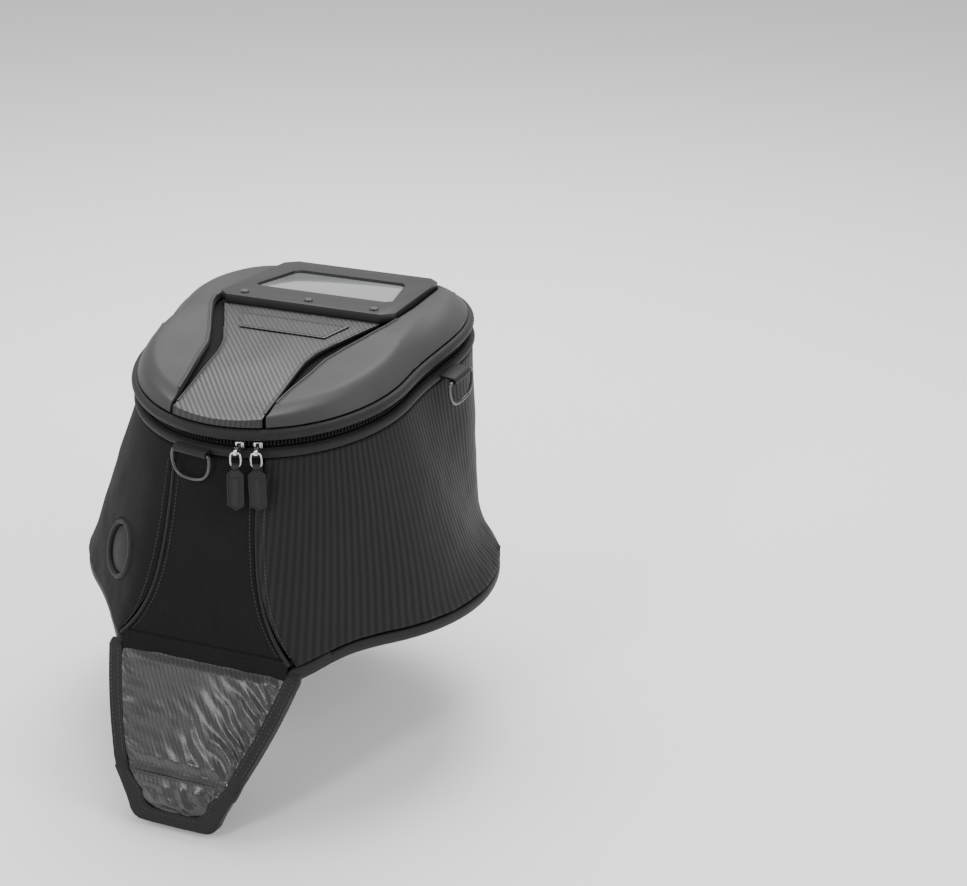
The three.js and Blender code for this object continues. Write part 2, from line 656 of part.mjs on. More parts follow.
function buildMapPocket() {
  const length = BEZEL_FAR_Y - BEZEL_NEAR_Y;
  const near = WINDOW_NEAR_MARGIN;
  const far = length - WINDOW_FAR_MARGIN;
  const opening = (grow, corner) =>
    trapezoid(WINDOW_NEAR_HALF + grow, WINDOW_FAR_HALF + grow, near - grow, far + grow, corner);
  const screwX = [-SCREW_SPACING, 0, SCREW_SPACING];
  const screwHoles = screwX.map((x) => circle(x, SCREW_MARGIN, SCREW_RADIUS + GAP));
  const outline = trapezoid(BEZEL_NEAR_HALF, BEZEL_FAR_HALF, 0, length, BEZEL_CORNER);
  const trayOutline = trapezoid(BEZEL_NEAR_HALF - 3, BEZEL_FAR_HALF - 4, 3, length - 4, BEZEL_CORNER);
  const paneZ = GASKET_THICKNESS + 2 * GAP;
  add('map_bezel', slab(outline, 0, BEZEL_THICKNESS, [opening(0, 5), ...screwHoles]), FRAME, mapPocket);
  add('map_window', slab(opening(-GAP, 5), paneZ, paneZ + WINDOW_THICKNESS), CLEAR, mapPocket);
  add('map_gasket', slab(opening(-GAP, 5), GAP, GAP + GASKET_THICKNESS, [opening(-GASKET_WIDTH, 3)]), RUBBER, mapPocket);
  add('map_tray', slab(trayOutline, -GAP - TRAY_THICKNESS, -GAP, screwHoles), FOAM, mapPocket);
  screwX.forEach((x, i) => {
    const top = BEZEL_THICKNESS + GAP;
    const head = top + SCREW_HEAD_HEIGHT;
    const profile = [[0, -GAP - 1.5], [SCREW_RADIUS, -GAP - 1.5], [SCREW_RADIUS, top], [SCREW_HEAD_RADIUS, top],
      [SCREW_HEAD_RADIUS * 0.8, head - 0.4], [0, head]];
    const screw = sealed(new THREE.LatheGeometry(profile.map(([r, y]) => new THREE.Vector2(r, y)), 16));
    screw.rotateX(Math.PI / 2);
    screw.translate(x, SCREW_MARGIN, 0);
    add(`bezel_screw_${i + 1}`, screw, DARK_STEEL, mapPocket);
  });
  mapPocket.position.set(0, BEZEL_NEAR_Y, BEZEL_SEAT_Z);
  mapPocket.rotation.x = -Math.atan(BEZEL_FALL);
  bag.add(mapPocket);
}

// ---------------------------------------------------------------- hardware on the ring
// A group at the ring line: X runs along it, -Y points out and Z up from the ring plane.
function station(degrees) {
  const group = new THREE.Group();
  const out = planNormal(ringPlan, degrees);
  const outward = V(out.x, out.y * Math.cos(TILT), out.y * Math.sin(TILT)).normalize();
  const inward = outward.clone().negate();
  const along = new THREE.Vector3().crossVectors(inward, RING_UP);
  group.matrix.makeBasis(along, inward, RING_UP);
  group.quaternion.setFromRotationMatrix(group.matrix);
  group.position.copy(ringPoint(degrees));
  bag.add(group);
  return group;
}

function buildSlider(side) {
  const place = station(SLIDER_ANGLES[side]);
  const plateOut = 2.6;
  const plate = block(SLIDER_WIDTH, plateOut, 5.6, 0, 1.2 + plateOut, -ZIP_DROP);
  const lugLength = LUG_REACH + 1.2 + plateOut;
  const lug = block(3, lugLength, 4, 0, 2 + plateOut - lugLength / 2, -ZIP_DROP);
  const knuckle = rod(2.4, 3);
  knuckle.translate(0, -LUG_REACH, -ZIP_DROP);
  const hole = rod(BAIL_WIRE + GAP, 8, 12);
  hole.translate(0, -LUG_REACH, -ZIP_DROP);
  add(`zip_slider_${side}`, cut(join(plate, lug, knuckle), hole), STEEL, place);

  const pull = new THREE.Group();
  pull.position.set(0, -LUG_REACH, -ZIP_DROP);
  pull.rotation.x = -rad(PULL_LEAN);
  place.add(pull);
  const corner = 1.6;
  const w = BAIL_HALF_WIDTH;
  const l = BAIL_LENGTH;
  const path = [[-w, -corner], [-w + corner, 0], [w - corner, 0], [w, -corner], [w, corner - l],
    [w - corner, -l], [corner - w, -l], [-w, corner - l]].map(([x, z]) => V(x, 0, z));
  add(`pull_bail_${side}`, wireLoop(path, BAIL_WIRE, 6), STEEL, pull);
  add(`pull_tab_${side}`, pullTab(), LEATHER, pull);
}

// A closed wire whose path lies in the XZ plane.
function wireLoop(path, radius, sides) {
  const count = path.length;
  return loft(path.map((p, i) => {
    const before = p.clone().sub(path[(i + count - 1) % count]).normalize();
    const after = path[(i + 1) % count].clone().sub(p).normalize();
    const along = before.add(after).normalize();
    const across = V(-along.z, 0, along.x);
    const spread = 1 / along.dot(after);
    return steps(sides, 0, 2 * Math.PI).slice(0, sides).map((t) => {
      const point = p.clone().addScaledVector(across, radius * spread * Math.cos(t + Math.PI / sides));
      return point.add(V(0, radius * Math.sin(t + Math.PI / sides), 0));
    });
  }), true);
}

function pullTab() {
  const half = PULL_WIDTH / 2;
  const neck = BAIL_HALF_WIDTH - BAIL_WIRE - 2 * GAP;
  const top = -BAIL_LENGTH;
  const foot = top - PULL_LENGTH;
  const outline = [[-neck, top], [-neck, top - 2.5], [-half, top - 6], [-half, foot + 4], [0, foot],
    [half, foot + 4], [half, top - 6], [neck, top - 2.5], [neck, top]].map(([x, z]) => new THREE.Vector2(x, z));
  const leaf = slab(outline, -PULL_THICKNESS / 2, PULL_THICKNESS / 2);
  leaf.rotateX(Math.PI / 2);
  const fold = rod(BAIL_WIRE + GAP + 1.3, 2 * neck);
  const hole = rod(BAIL_WIRE + GAP, 3 * neck, 12);
  fold.translate(0, 0, top);
  hole.translate(0, 0, top);
  return cut(join(leaf, fold), hole);
}

function buildRingStation(name, spec, side) {
  const place = station(side * spec.angle);
  const centreZ = -BAND_TOP - BAND_HEIGHT / 2;
  const inner = WELT_PROUD + GAP;
  const sleeve = rod(LOOP_RADIUS, spec.loop);
  const bore = rod(RING_WIRE + LOOP_CLEARANCE, spec.loop + 4, 12);
  for (const part of [sleeve, bore]) part.translate(0, -spec.reach, centreZ);
  const tailLength = spec.reach - inner;
  const web = spec.reach > 2 * LOOP_RADIUS
    ? block(spec.loop, tailLength, 2.4, 0, -inner - tailLength / 2, centreZ + LOOP_RADIUS - 1.2)
    : block(spec.loop, 1.2, BAND_HEIGHT, 0, -inner - 0.6, centreZ - 1);
  add(`dring_tab_${name}`, cut(join(sleeve, web), bore), WEBBING, place);

  const hang = new THREE.Group();
  hang.position.set(0, -spec.reach, centreZ);
  hang.rotation.x = -rad(spec.lean);
  place.add(hang);
  const w = RING_HALF_WIDTH;
  const d = RING_DROP;
  const path = [[-w + 2, 0], [w - 2, 0], [w, -2.5], [w, -d * 0.5], [w * 0.82, -d * 0.82], [w * 0.45, -d],
    [-w * 0.45, -d], [-w * 0.82, -d * 0.82], [-w, -d * 0.5], [-w, -2.5]].map(([x, z]) => V(x, 0, z));
  add(`dring_${name}`, wireLoop(path, RING_WIRE, 8), DARK_STEEL, hang);
}

// ---------------------------------------------------------------- tongue
// Flat outlines are drawn with Y up the slope, so that the fold is at 0 and the free end is negative.
const tongueHalf = (t) =>
  mix(TONGUE_HALF_TOP, TONGUE_HALF_FOLD, t / TONGUE_LENGTH) + 2.5 * Math.sin(Math.PI * t / TONGUE_LENGTH);

function padOutline(half, from, to, inset) {
  const rows = steps(6, from, to);
  const right = rows.map((t) => new THREE.Vector2(half(t) - inset, -t));
  return [...right, ...right.map((p) => new THREE.Vector2(-p.x, p.y)).reverse()];
}

function edgeOutline(half, from, to, side) {
  const rows = steps(6, from, to);
  const inner = rows.map((t) => new THREE.Vector2(side * (half(t) + GAP), -t));
  const outer = rows.map((t) => new THREE.Vector2(side * (half(t) + EDGE_WIDTH), -t)).reverse();
  return [...inner, ...outer];
}

function tipOutline(grow) {
  const half = TONGUE_HALF_FOLD + grow;
  const end = TIP_LENGTH + grow;
  const round = 14;
  const arc = steps(5, 0, Math.PI / 2).map((t) =>
    new THREE.Vector2(TIP_HALF_END + grow - round + round * Math.cos(t), -end + round - round * Math.sin(t)));
  const right = [new THREE.Vector2(half, -FOLD_CLEARANCE), ...arc];
  return { right, left: right.map((p) => new THREE.Vector2(-p.x, p.y)).reverse() };
}

function buildTongue() {
  const upper = new THREE.Group();
  upper.position.set(0, BASE_REAR_Y - 2, TONGUE_HINGE_Z);
  upper.rotation.x = rad(TONGUE_SLOPE);
  bag.add(upper);
  const [from, to] = [FOLD_CLEARANCE + 1, TONGUE_LENGTH - FOLD_CLEARANCE];
  const backZ = -PAD_THICKNESS - GAP;
  add('tongue_pad', slab(padOutline(tongueHalf, from, to, 0), -PAD_THICKNESS, 0), VINYL, upper);
  add('tongue_backing', slab(padOutline(tongueHalf, from, to, 1), backZ - BACKING_THICKNESS, backZ), RUBBER, upper);
  for (const [name, side] of [['right', 1], ['left', -1]]) {
    const strip = slab(edgeOutline(tongueHalf, from, to, side), -EDGE_THICKNESS, 0.3);
    add(`tongue_binding_${name}`, strip, WEBBING, upper);
  }

  const tip = new THREE.Group();
  const slope = rad(TONGUE_SLOPE);
  tip.position.set(0, BASE_REAR_Y - 2 - TONGUE_LENGTH * Math.cos(slope),
    TONGUE_HINGE_Z - TONGUE_LENGTH * Math.sin(slope));
  tip.rotation.x = rad(TIP_SLOPE);
  bag.add(tip);
  const pad = tipOutline(0);
  const back = tipOutline(-1);
  const inner = tipOutline(GAP);
  const outer = tipOutline(EDGE_WIDTH);
  add('tip_pad', slab([...pad.right, ...pad.left], -PAD_THICKNESS, 0), VINYL, tip);
  add('tip_backing', slab([...back.right, ...back.left], backZ - BACKING_THICKNESS, backZ), RUBBER, tip);
  const rim = [...outer.right, ...outer.left, ...inner.left.reverse(), ...inner.right.reverse()];
  add('tip_binding', slab(rim, -EDGE_THICKNESS, 0.3), WEBBING, tip);
}

// ---------------------------------------------------------------- assembly
buildPanels();
buildStiffeners();
buildPiping();
buildPort();
buildBase();
buildBinding();
buildRing();
buildLid();
buildMapPocket();
buildSlider('left');
buildSlider('right');
buildRingStation('rear', REAR_RING, 1);
buildRingStation('front_right', FRONT_RING, 1);
buildRingStation('front_left', FRONT_RING, -1);
buildTongue();

export default bag;
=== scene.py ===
import json
import math
import bpy
import bmesh
import numpy as np
from mathutils import Matrix, Vector, noise
from mathutils.bvhtree import BVHTree


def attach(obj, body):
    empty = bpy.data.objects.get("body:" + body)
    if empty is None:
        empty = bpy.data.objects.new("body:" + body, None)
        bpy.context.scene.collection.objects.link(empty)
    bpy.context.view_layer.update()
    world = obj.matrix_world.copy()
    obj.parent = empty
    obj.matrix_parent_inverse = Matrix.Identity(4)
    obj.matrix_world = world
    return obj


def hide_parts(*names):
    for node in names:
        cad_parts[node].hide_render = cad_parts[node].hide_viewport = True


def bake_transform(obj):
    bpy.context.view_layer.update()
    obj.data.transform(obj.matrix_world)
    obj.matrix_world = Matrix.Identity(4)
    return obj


MM = 0.001

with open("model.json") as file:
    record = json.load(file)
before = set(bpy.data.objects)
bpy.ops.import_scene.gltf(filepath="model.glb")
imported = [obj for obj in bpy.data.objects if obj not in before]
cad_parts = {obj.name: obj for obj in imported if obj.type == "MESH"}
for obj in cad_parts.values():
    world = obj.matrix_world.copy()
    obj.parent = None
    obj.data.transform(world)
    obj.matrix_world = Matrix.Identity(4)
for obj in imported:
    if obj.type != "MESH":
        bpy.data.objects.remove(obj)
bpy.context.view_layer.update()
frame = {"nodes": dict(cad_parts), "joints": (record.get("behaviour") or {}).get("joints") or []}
cad = frame["nodes"]

# Sizes of the bag that the fabric pieces follow, in millimetres and degrees.
RING_RADIUS = 124
RING_REACH = 212
RING_HEIGHT = 195
RING_TILT = math.radians(6.2)
RING_UP = Vector((0, -math.sin(RING_TILT), math.cos(RING_TILT)))
ZIP_DROP = 8.5
WALL_CENTRE_Y = 10
RING_CENTRE_Y = 40
FRONT_POWER = 3.4
FRONT_BULGE = 14
BASE_HALF_WIDTH = 188
BASE_REAR_REACH = 155
BASE_FRONT_REACH = 162
REAR_EDGE_Y = -158
REAR_EDGE_HALF = 79
REAR_EDGE_ANGLE = 26.6
ROUND_ANGLE = 45
REAR_HEM_Z = 1.5
HEM_RISE = 13
HEM_RISE_ANGLE = 14
BINDING_DROP = 7.3
BINDING_OFFSET = 6.2
BINDING_LIFT = -3.6
SEAM_ANGLE = 16.3
SEAM_FOOT_TURN = 10.3
SEAM_TOP_TURN = 2.5
PORT_HOLE_RADIUS = 26.3
LID_CENTRE_Y = 20
LID_CLEAR_Z = 240
SHOULDER_INSET = 24
STITCH_LIFT = 0.12
TONGUE_LENGTH = 98
TONGUE_TOP_HALF = 76
TONGUE_FOLD_HALF = 44.6
TIP_START = 3
TIP_SHOULDER = 19
TIP_CORNER = 14
TIP_END_HALF = 30
TIP_NARROWING = TONGUE_FOLD_HALF - TIP_END_HALF
TONGUE_ORIGIN = Vector((0, -160, -3))
TONGUE_SLOPE = math.radians(54.5)
TIP_ORIGIN = Vector((0, -216.909, -82.783))
TIP_SLOPE = math.radians(77)
TONGUE_OUT = Vector((0, -math.sin(TONGUE_SLOPE), math.cos(TONGUE_SLOPE)))
TIP_OUT = Vector((0, -math.sin(TIP_SLOPE), math.cos(TIP_SLOPE)))
SIDES = (("left", -1), ("right", 1))


# ------------------------------------------------------------------ mesh helpers
def only(obj):
    bpy.ops.object.select_all(action="DESELECT")
    bpy.context.view_layer.objects.active = obj
    obj.select_set(True)


def apply(obj, kind, **settings):
    """Adds a modifier, sets it and applies it."""
    only(obj)
    mod = obj.modifiers.new(kind, kind)
    for key, value in settings.items():
        setattr(mod, key, value)
    bpy.ops.object.modifier_apply(modifier=mod.name)
    return obj


def edit(obj, *steps):
    """Runs mesh operators on the whole of obj."""
    only(obj)
    bpy.ops.object.mode_set(mode="EDIT")
    bpy.ops.mesh.select_all(action="SELECT")
    for step, settings in steps:
        getattr(bpy.ops.mesh, step)(**settings)
    bpy.ops.object.mode_set(mode="OBJECT")
    return obj


def face_out(obj):
    return edit(obj, ("normals_make_consistent", {"inside": False}))


def shade(obj, degrees=50):
    """Smooth shading that keeps the edges that turn by more than an angle."""
    only(obj)
    bpy.ops.object.shade_smooth_by_angle(angle=math.radians(degrees))
    return obj


def new_object(name, data):
    obj = bpy.data.objects.new(name, data)
    bpy.context.scene.collection.objects.link(obj)
    return obj


def from_bmesh(name, bm):
    data = bpy.data.meshes.new(name)
    bm.to_mesh(data)
    bm.free()
    return new_object(name, data)


def strip_of(name, columns):
    """A sheet of quads through columns of places in millimetres that hold the same count."""
    bm = bmesh.new()
    rows = [[bm.verts.new(p * MM) for p in column] for column in columns]
    for one, two in zip(rows, rows[1:]):
        for k in range(len(one) - 1):
            bm.faces.new((one[k], two[k], two[k + 1], one[k + 1]))
    return from_bmesh(name, bm)


def from_node(node, name):
    """A new piece that starts as the node's own shape, with its doubles merged into clean quads."""
    obj = new_object(name, cad[node].data.copy())
    obj.data.materials.clear()
    return edit(
        obj,
        ("remove_doubles", {"threshold": 0.00002}),
        ("tris_convert_to_quads", {"face_threshold": 0.7, "shape_threshold": 1.2}),
    )


def crease_sharp(obj, degrees):
    """Creases the edges that turn by more than an angle, so that subdivision keeps them."""
    bm = bmesh.new()
    bm.from_mesh(obj.data)
    layer = bm.edges.layers.float.get("crease_edge") or bm.edges.layers.float.new("crease_edge")
    for e in bm.edges:
        if len(e.link_faces) == 2 and e.calc_face_angle(0) > math.radians(degrees):
            e[layer] = 1.0
    bm.to_mesh(obj.data)
    bm.free()


def refine(obj, levels, sharp=50, bevel=0.0):
    """Smooths a piece, keeps its sharp borders and rounds them over by the bevel."""
    crease_sharp(obj, sharp)
    apply(obj, "SUBSURF", levels=levels, render_levels=levels)
    if bevel:
        apply(obj, "BEVEL", width=bevel * MM, segments=3, limit_method="ANGLE",
              angle_limit=math.radians(sharp), use_clamp_overlap=True)
    only(obj)
    bpy.ops.object.shade_smooth()
    return obj


def move_points(obj, rule):
    """Moves each point of a piece by a rule of its place and normal, in millimetres."""
    moved = []
    for v in obj.data.vertices:
        moved.extend((v.co + rule(v.co / MM, v.normal) * MM)[:])
    obj.data.vertices.foreach_set("co", moved)
    obj.data.update()
    return obj


def soft_noise(p, size, seed=0):
    return noise.noise(Vector((p[0] / size + seed, p[1] / size, p[2] / size + 3.7)))


def smooth(t):
    t = min(1.0, max(0.0, t))
    return t * t * (3 - 2 * t)


def cloth_uv(obj, rule):
    """Gives a piece a UV map in millimetres of cloth from a rule of place; u may be a wrapped angle."""
    layer = obj.data.uv_layers.get("cloth") or obj.data.uv_layers.new(name="cloth")
    places = [rule(v.co / MM) for v in obj.data.vertices]
    out = np.zeros(len(obj.data.loops) * 2, np.float32)
    for face in obj.data.polygons:
        first = places[face.vertices[0]]
        for loop, vertex in zip(face.loop_indices, face.vertices):
            u, v, wrap = places[vertex]
            if wrap:
                u = first[0] + (u - first[0] + wrap / 2) % wrap - wrap / 2
            out[2 * loop] = u
            out[2 * loop + 1] = v
    layer.data.foreach_set("uv", out)
    obj.data.uv_layers.active = layer


def wall_uv(p):
    wrap = 2 * math.pi * 160
    return math.atan2(p.x, WALL_CENTRE_Y - p.y) * 160, p.z * 1.1, wrap


def plan_uv(p):
    return p.x, p.y - p.z * 0.3, 0


def ring_uv(p):
    wrap = 2 * math.pi * 140
    around = math.atan2(p.x, RING_CENTRE_Y - p.y)
    return around * 140, (p.z - RING_HEIGHT - 0.109 * p.y) * 1.3, wrap


def tongue_uv(p):
    return p.x, (p.z - p.y) * 0.72, 0


def settle(obj, body, material, slot=None, nodes=()):
    """Finishes a piece: its material, what it rides on and what it stands for; the slot argument is not
    used.
    """
    obj.data.materials.clear()
    obj.data.materials.append(material)
    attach(obj, body)
    if nodes:
        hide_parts(*nodes)
    return obj


# ------------------------------------------------------------------ materials
class Finish:
    """A procedural material, built up from a colour, a pattern and a relief."""

    def __init__(self, name, colour, roughness, **sockets):
        self.material = bpy.data.materials.new(name)
        self.material.use_nodes = True
        self.tree = self.material.node_tree
        self.shader = self.tree.nodes["Principled BSDF"]
        self.shader.inputs["Base Color"].default_value = (*colour, 1)
        self.shader.inputs["Roughness"].default_value = roughness
        for key, value in sockets.items():
            self.shader.inputs[key.replace("_", " ")].default_value = value
        self.colour = colour
        self.material.diffuse_color = (*colour, 1)

    def node(self, kind, inputs=(), **settings):
        made = self.tree.nodes.new(kind)
        for key, value in settings.items():
            setattr(made, key, value)
        for key, value in dict(inputs).items():
            if isinstance(value, bpy.types.NodeSocket):
                self.tree.links.new(value, made.inputs[key])
            else:
                made.inputs[key].default_value = value
        return made

    def math(self, operation, a, b=0.0):
        return self.node("ShaderNodeMath", {0: a, 1: b}, operation=operation).outputs[0]

    def place(self):
        return self.node("ShaderNodeTexCoord").outputs["Object"]

    def cloth(self):
        return self.node("ShaderNodeUVMap", uv_map="cloth").outputs["UV"]

    def grain(self, scale, detail=4.0, roughness=0.55, stretch=None):
        where = self.place()
        if stretch:
            where = self.node("ShaderNodeMapping", {"Vector": where, "Scale": stretch}).outputs[0]
        inputs = {"Vector": where, "Scale": scale, "Detail": detail, "Roughness": roughness}
        return self.node("ShaderNodeTexNoise", inputs).outputs["Fac"]

    def wave(self, direction, pitch, where=None):
        """A smooth wave from 0 to 1 across the cloth, with a pitch in millimetres."""
        length = math.hypot(*direction)
        across = tuple(d / length * 2 * math.pi / pitch for d in direction) + (0,)
        inputs = {0: where or self.cloth(), 1: across}
        dot = self.node("ShaderNodeVectorMath", inputs, operation="DOT_PRODUCT")
        sine = self.math("SINE", dot.outputs["Value"])
        return self.math("ADD", self.math("MULTIPLY", sine, 0.5), 0.5)

    def tint(self, factor, low, high):
        """Base colour between two strengths of the finish's own colour."""
        ramp = self.node("ShaderNodeMix", {"Factor": factor}, data_type="RGBA")
        ramp.inputs["A"].default_value = (*[c * low for c in self.colour], 1)
        ramp.inputs["B"].default_value = (*[c * high for c in self.colour], 1)
        self.tree.links.new(ramp.outputs["Result"], self.shader.inputs["Base Color"])
        return self

    def gloss(self, factor, low, high):
        mapped = self.node("ShaderNodeMapRange", {"Value": factor, "To Min": low, "To Max": high})
        self.tree.links.new(mapped.outputs["Result"], self.shader.inputs["Roughness"])
        return self

    def relief(self, height, depth):
        """Adds a bump of some depth in millimetres over what is there."""
        bump = self.node("ShaderNodeBump", {"Height": height, "Strength": 1.0, "Distance": depth * MM})
        before = self.shader.inputs["Normal"].links
        if before:
            self.tree.links.new(before[0].from_socket, bump.inputs["Normal"])
        self.tree.links.new(bump.outputs["Normal"], self.shader.inputs["Normal"])
        return self


def plain_weave():
    f = Finish("black_fabric", (0.0052, 0.0053, 0.0056), 0.8, Specular_IOR_Level=0.16, Sheen_Weight=0.03)
    warp = f.wave((1, 0), 1.5)
    weft = f.wave((0, 1), 1.5)
    mesh = f.math("MULTIPLY", warp, weft)
    f.tint(f.math("ADD", f.math("MULTIPLY", mesh, 0.5), f.math("MULTIPLY", f.grain(9), 0.6)), 0.6, 1.6)
    f.gloss(f.grain(30), 0.74, 0.9)
    f.relief(mesh, 0.28)
    return f.relief(f.grain(420, 2), 0.12).material


def ribbed_weave():
    f = Finish("ribbed_fabric", (0.008, 0.0081, 0.0085), 0.66, Specular_IOR_Level=0.22, Sheen_Weight=0.05)
    rib = f.wave((1, -0.1), 6.2)
    cross = f.wave((0.15, 1), 2.2)
    cloth = f.math("ADD", f.math("MULTIPLY", rib, 0.75), f.math("MULTIPLY", cross, 0.25))
    f.tint(f.math("ADD", f.math("MULTIPLY", cloth, 0.55), f.math("MULTIPLY", f.grain(8), 0.5)), 0.6, 1.6)
    f.gloss(rib, 0.82, 0.62)
    f.relief(cloth, 0.36)
    return f.relief(f.grain(420, 2), 0.1).material


def tape_weave():
    f = Finish("woven_tape", (0.0085, 0.0086, 0.009), 0.6, Specular_IOR_Level=0.25, Sheen_Weight=0.06)
    twill = f.wave((1, 1), 2.0)
    herring = f.wave((1, -1), 2.0)
    weave = f.math("MAXIMUM", twill, herring)
    f.tint(f.math("ADD", f.math("MULTIPLY", weave, 0.3), f.math("MULTIPLY", f.grain(14), 0.6)), 0.6, 1.5)
    f.gloss(f.grain(60), 0.55, 0.75)
    f.relief(weave, 0.16)
    return f.relief(f.grain(500, 2), 0.08).material


def coated_cloth(name, colour, rough, pitch, depth, coat, lean):
    """Diagonal ribs broken into dots, under a thin glossy coat."""
    f = Finish(name, colour, rough, Coat_Weight=coat, Coat_Roughness=0.25, Specular_IOR_Level=0.4)
    rib = f.wave((1, lean), pitch)
    dots = f.wave((lean, -1), pitch * 0.62)
    cloth = f.math("MULTIPLY", rib, f.math("ADD", f.math("MULTIPLY", dots, 0.45), 0.55))
    f.tint(f.math("ADD", f.math("MULTIPLY", cloth, 0.8), f.math("MULTIPLY", f.grain(11), 0.25)), 0.45, 1.9)
    f.gloss(cloth, rough + 0.12, rough - 0.06)
    return f.relief(cloth, depth).material


def moulded_skin():
    f = Finish("moulded_lid_cloth", (0.03, 0.0303, 0.0312), 0.5, Specular_IOR_Level=0.35, Sheen_Weight=0.05)
    f.tint(f.grain(16), 0.75, 1.2)
    f.gloss(f.grain(26), 0.5, 0.68)
    f.relief(f.grain(900, 3), 0.1)
    return f.relief(f.grain(240, 3), 0.06).material


def hard_plastic():
    f = Finish("satin_frame_plastic", (0.012, 0.0121, 0.0125), 0.4, Specular_IOR_Level=0.4)
    f.tint(f.grain(20), 0.85, 1.15)
    f.gloss(f.grain(55), 0.36, 0.52)
    return f.relief(f.grain(1400, 2), 0.035).material


def window_film_painted_reflection():
    # The light grey base colour is a painted reflection of the bright studio on the window; the grain tint
    # varies it at random.
    f = Finish("clear_window_painted_reflection", (0.28, 0.285, 0.29), 0.12, Coat_Weight=0.8, Coat_Roughness=0.04)
    f.tint(f.grain(7), 0.8, 1.15)
    f.gloss(f.grain(12), 0.08, 0.2)
    return f.relief(f.grain(10, 1), 0.5).material


def rubber(name, tone, pitch=0.0):
    f = Finish(name, (tone, tone, tone * 1.03), 0.6, Specular_IOR_Level=0.3)
    f.tint(f.grain(24), 0.7, 1.35)
    f.gloss(f.grain(40), 0.52, 0.72)
    if pitch:
        scaled = {0: f.place(), 1: (1000, 1000, 1000)}
        where = f.node("ShaderNodeVectorMath", scaled, operation="MULTIPLY").outputs[0]
        grip = f.math("MULTIPLY", f.wave((1, 1), pitch, where), f.wave((1, -1), pitch, where))
        f.relief(grip, 0.5)
    return f.relief(f.grain(700, 3), 0.06).material


def metal(name, tone, rough):
    f = Finish(name, (tone, tone * 1.01, tone * 1.03), rough, Metallic=1.0)
    f.tint(f.grain(90, 2), 0.8, 1.1)
    f.gloss(f.grain(160, 3, stretch=(1, 1, 6)), rough * 0.8, rough * 1.35)
    return f.relief(f.grain(300, 2), 0.015).material


def painted_metal():
    f = Finish("black_metal", (0.012, 0.012, 0.013), 0.3, Coat_Weight=0.5, Coat_Roughness=0.2)
    edge = f.node("ShaderNodeNewGeometry").outputs["Pointiness"]
    # Base colour is lighter on sharp convex edges, where pointiness passes 0.56.
    lighter_edges = f.math("GREATER_THAN", edge, 0.56)
    f.tint(f.math("ADD", f.math("MULTIPLY", lighter_edges, 0.6), f.grain(80)), 0.7, 2.4)
    f.gloss(f.grain(120), 0.24, 0.42)
    return f.relief(f.grain(350, 2), 0.02).material


def pull_leather():
    f = Finish("pull_leather", (0.006, 0.0061, 0.0064), 0.5, Specular_IOR_Level=0.35)
    inputs = {"Vector": f.place(), "Scale": 900.0}
    cells = f.node("ShaderNodeTexVoronoi", inputs, feature="DISTANCE_TO_EDGE")
    f.tint(f.grain(120), 0.7, 1.5)
    f.gloss(f.grain(200), 0.42, 0.62)
    return f.relief(cells.outputs["Distance"], 0.12).material


def thread():
    f = Finish("sewing_thread", (0.04, 0.0403, 0.041), 0.6, Specular_IOR_Level=0.3)
    f.tint(f.grain(60), 0.7, 1.4)
    return f.relief(f.grain(1500, 1), 0.05).material


FABRIC = plain_weave()
RIBBED = ribbed_weave()
TAPE = tape_weave()
TONGUE_CLOTH = coated_cloth("glossy_tongue_cloth", (0.009, 0.0091, 0.0094), 0.34, 3.5, 0.26, 0.6, -0.62)
CHANNEL_CLOTH = coated_cloth("channel_cloth", (0.013, 0.0131, 0.0136), 0.42, 3.6, 0.32, 0.12, 0.9)
LID_SKIN = moulded_skin()
PLASTIC = hard_plastic()
FILM = window_film_painted_reflection()
RUBBER = rubber("black_rubber", 0.009)
GRIP = rubber("grip_rubber", 0.012, 5.0)
BOARD = rubber("foam_board", 0.022)
LINING = rubber("lining_cloth", 0.045, 2.0)
STEEL = metal("polished_steel", 0.62, 0.24)
DARK_METAL = painted_metal()
LEATHER = pull_leather()
THREAD = thread()


# ------------------------------------------------------------------ places on the bag
def ring_plan(degrees):
    a = math.radians(degrees)
    if math.cos(a) > 0:
        return Vector((RING_RADIUS * math.sin(a), -RING_RADIUS * math.cos(a)))
    across = (abs(math.sin(a)) / RING_RADIUS) ** FRONT_POWER
    ahead = (abs(math.cos(a)) / RING_REACH) ** FRONT_POWER
    r = (across + ahead) ** (-1 / FRONT_POWER)
    y = -r * math.cos(a)
    bulge = FRONT_BULGE * math.sin(math.pi * min(1, y / RING_REACH)) ** 2
    return Vector((r * math.sin(a) + math.copysign(bulge, math.sin(a)), y))


def ring_place(degrees, out=0.0, rise=0.0):
    """A point of the ring line in millimetres, moved out of it and up from it."""
    along = (ring_plan(degrees + 0.5) - ring_plan(degrees - 0.5)).normalized()
    flat = ring_plan(degrees) + Vector((along.y, -along.x)) * out
    y = flat.y * math.cos(RING_TILT)
    z = RING_HEIGHT + flat.y * math.sin(RING_TILT) - 0.0009 * max(0, y - 60) ** 2
    return Vector((flat.x, y, z)) + RING_UP * rise


def slope_place(origin, slope, x, down, lift):
    along = Vector((0, -math.cos(slope), -math.sin(slope)))
    outward = Vector((0, -math.sin(slope), math.cos(slope)))
    return origin + Vector((x, 0, 0)) + along * down + outward * lift


def tongue_half(t):
    bow = 2.5 * math.sin(math.pi * min(1, max(0, t / TONGUE_LENGTH)))
    return TONGUE_TOP_HALF + (TONGUE_FOLD_HALF - TONGUE_TOP_HALF) * t / TONGUE_LENGTH + bow


# ------------------------------------------------------------------ body panels
def belly(p):
    """How far a wall panel is from its top and bottom hems, from 0 to 1."""
    return smooth((p.z - 6) / 60) * smooth((172 - p.z) / 60)


def panel_shape(swell, seed):
    def rule(p, n):
        fold = 1.1 * soft_noise(p, 46, seed) + 0.45 * soft_noise(p, 17, seed + 9)
        hem = 0.8 * math.exp(-((p.z - 22) / 14) ** 2) * soft_noise(p, 13, seed + 4)
        return n * (belly(p) * (swell + fold) + hem)
    return rule


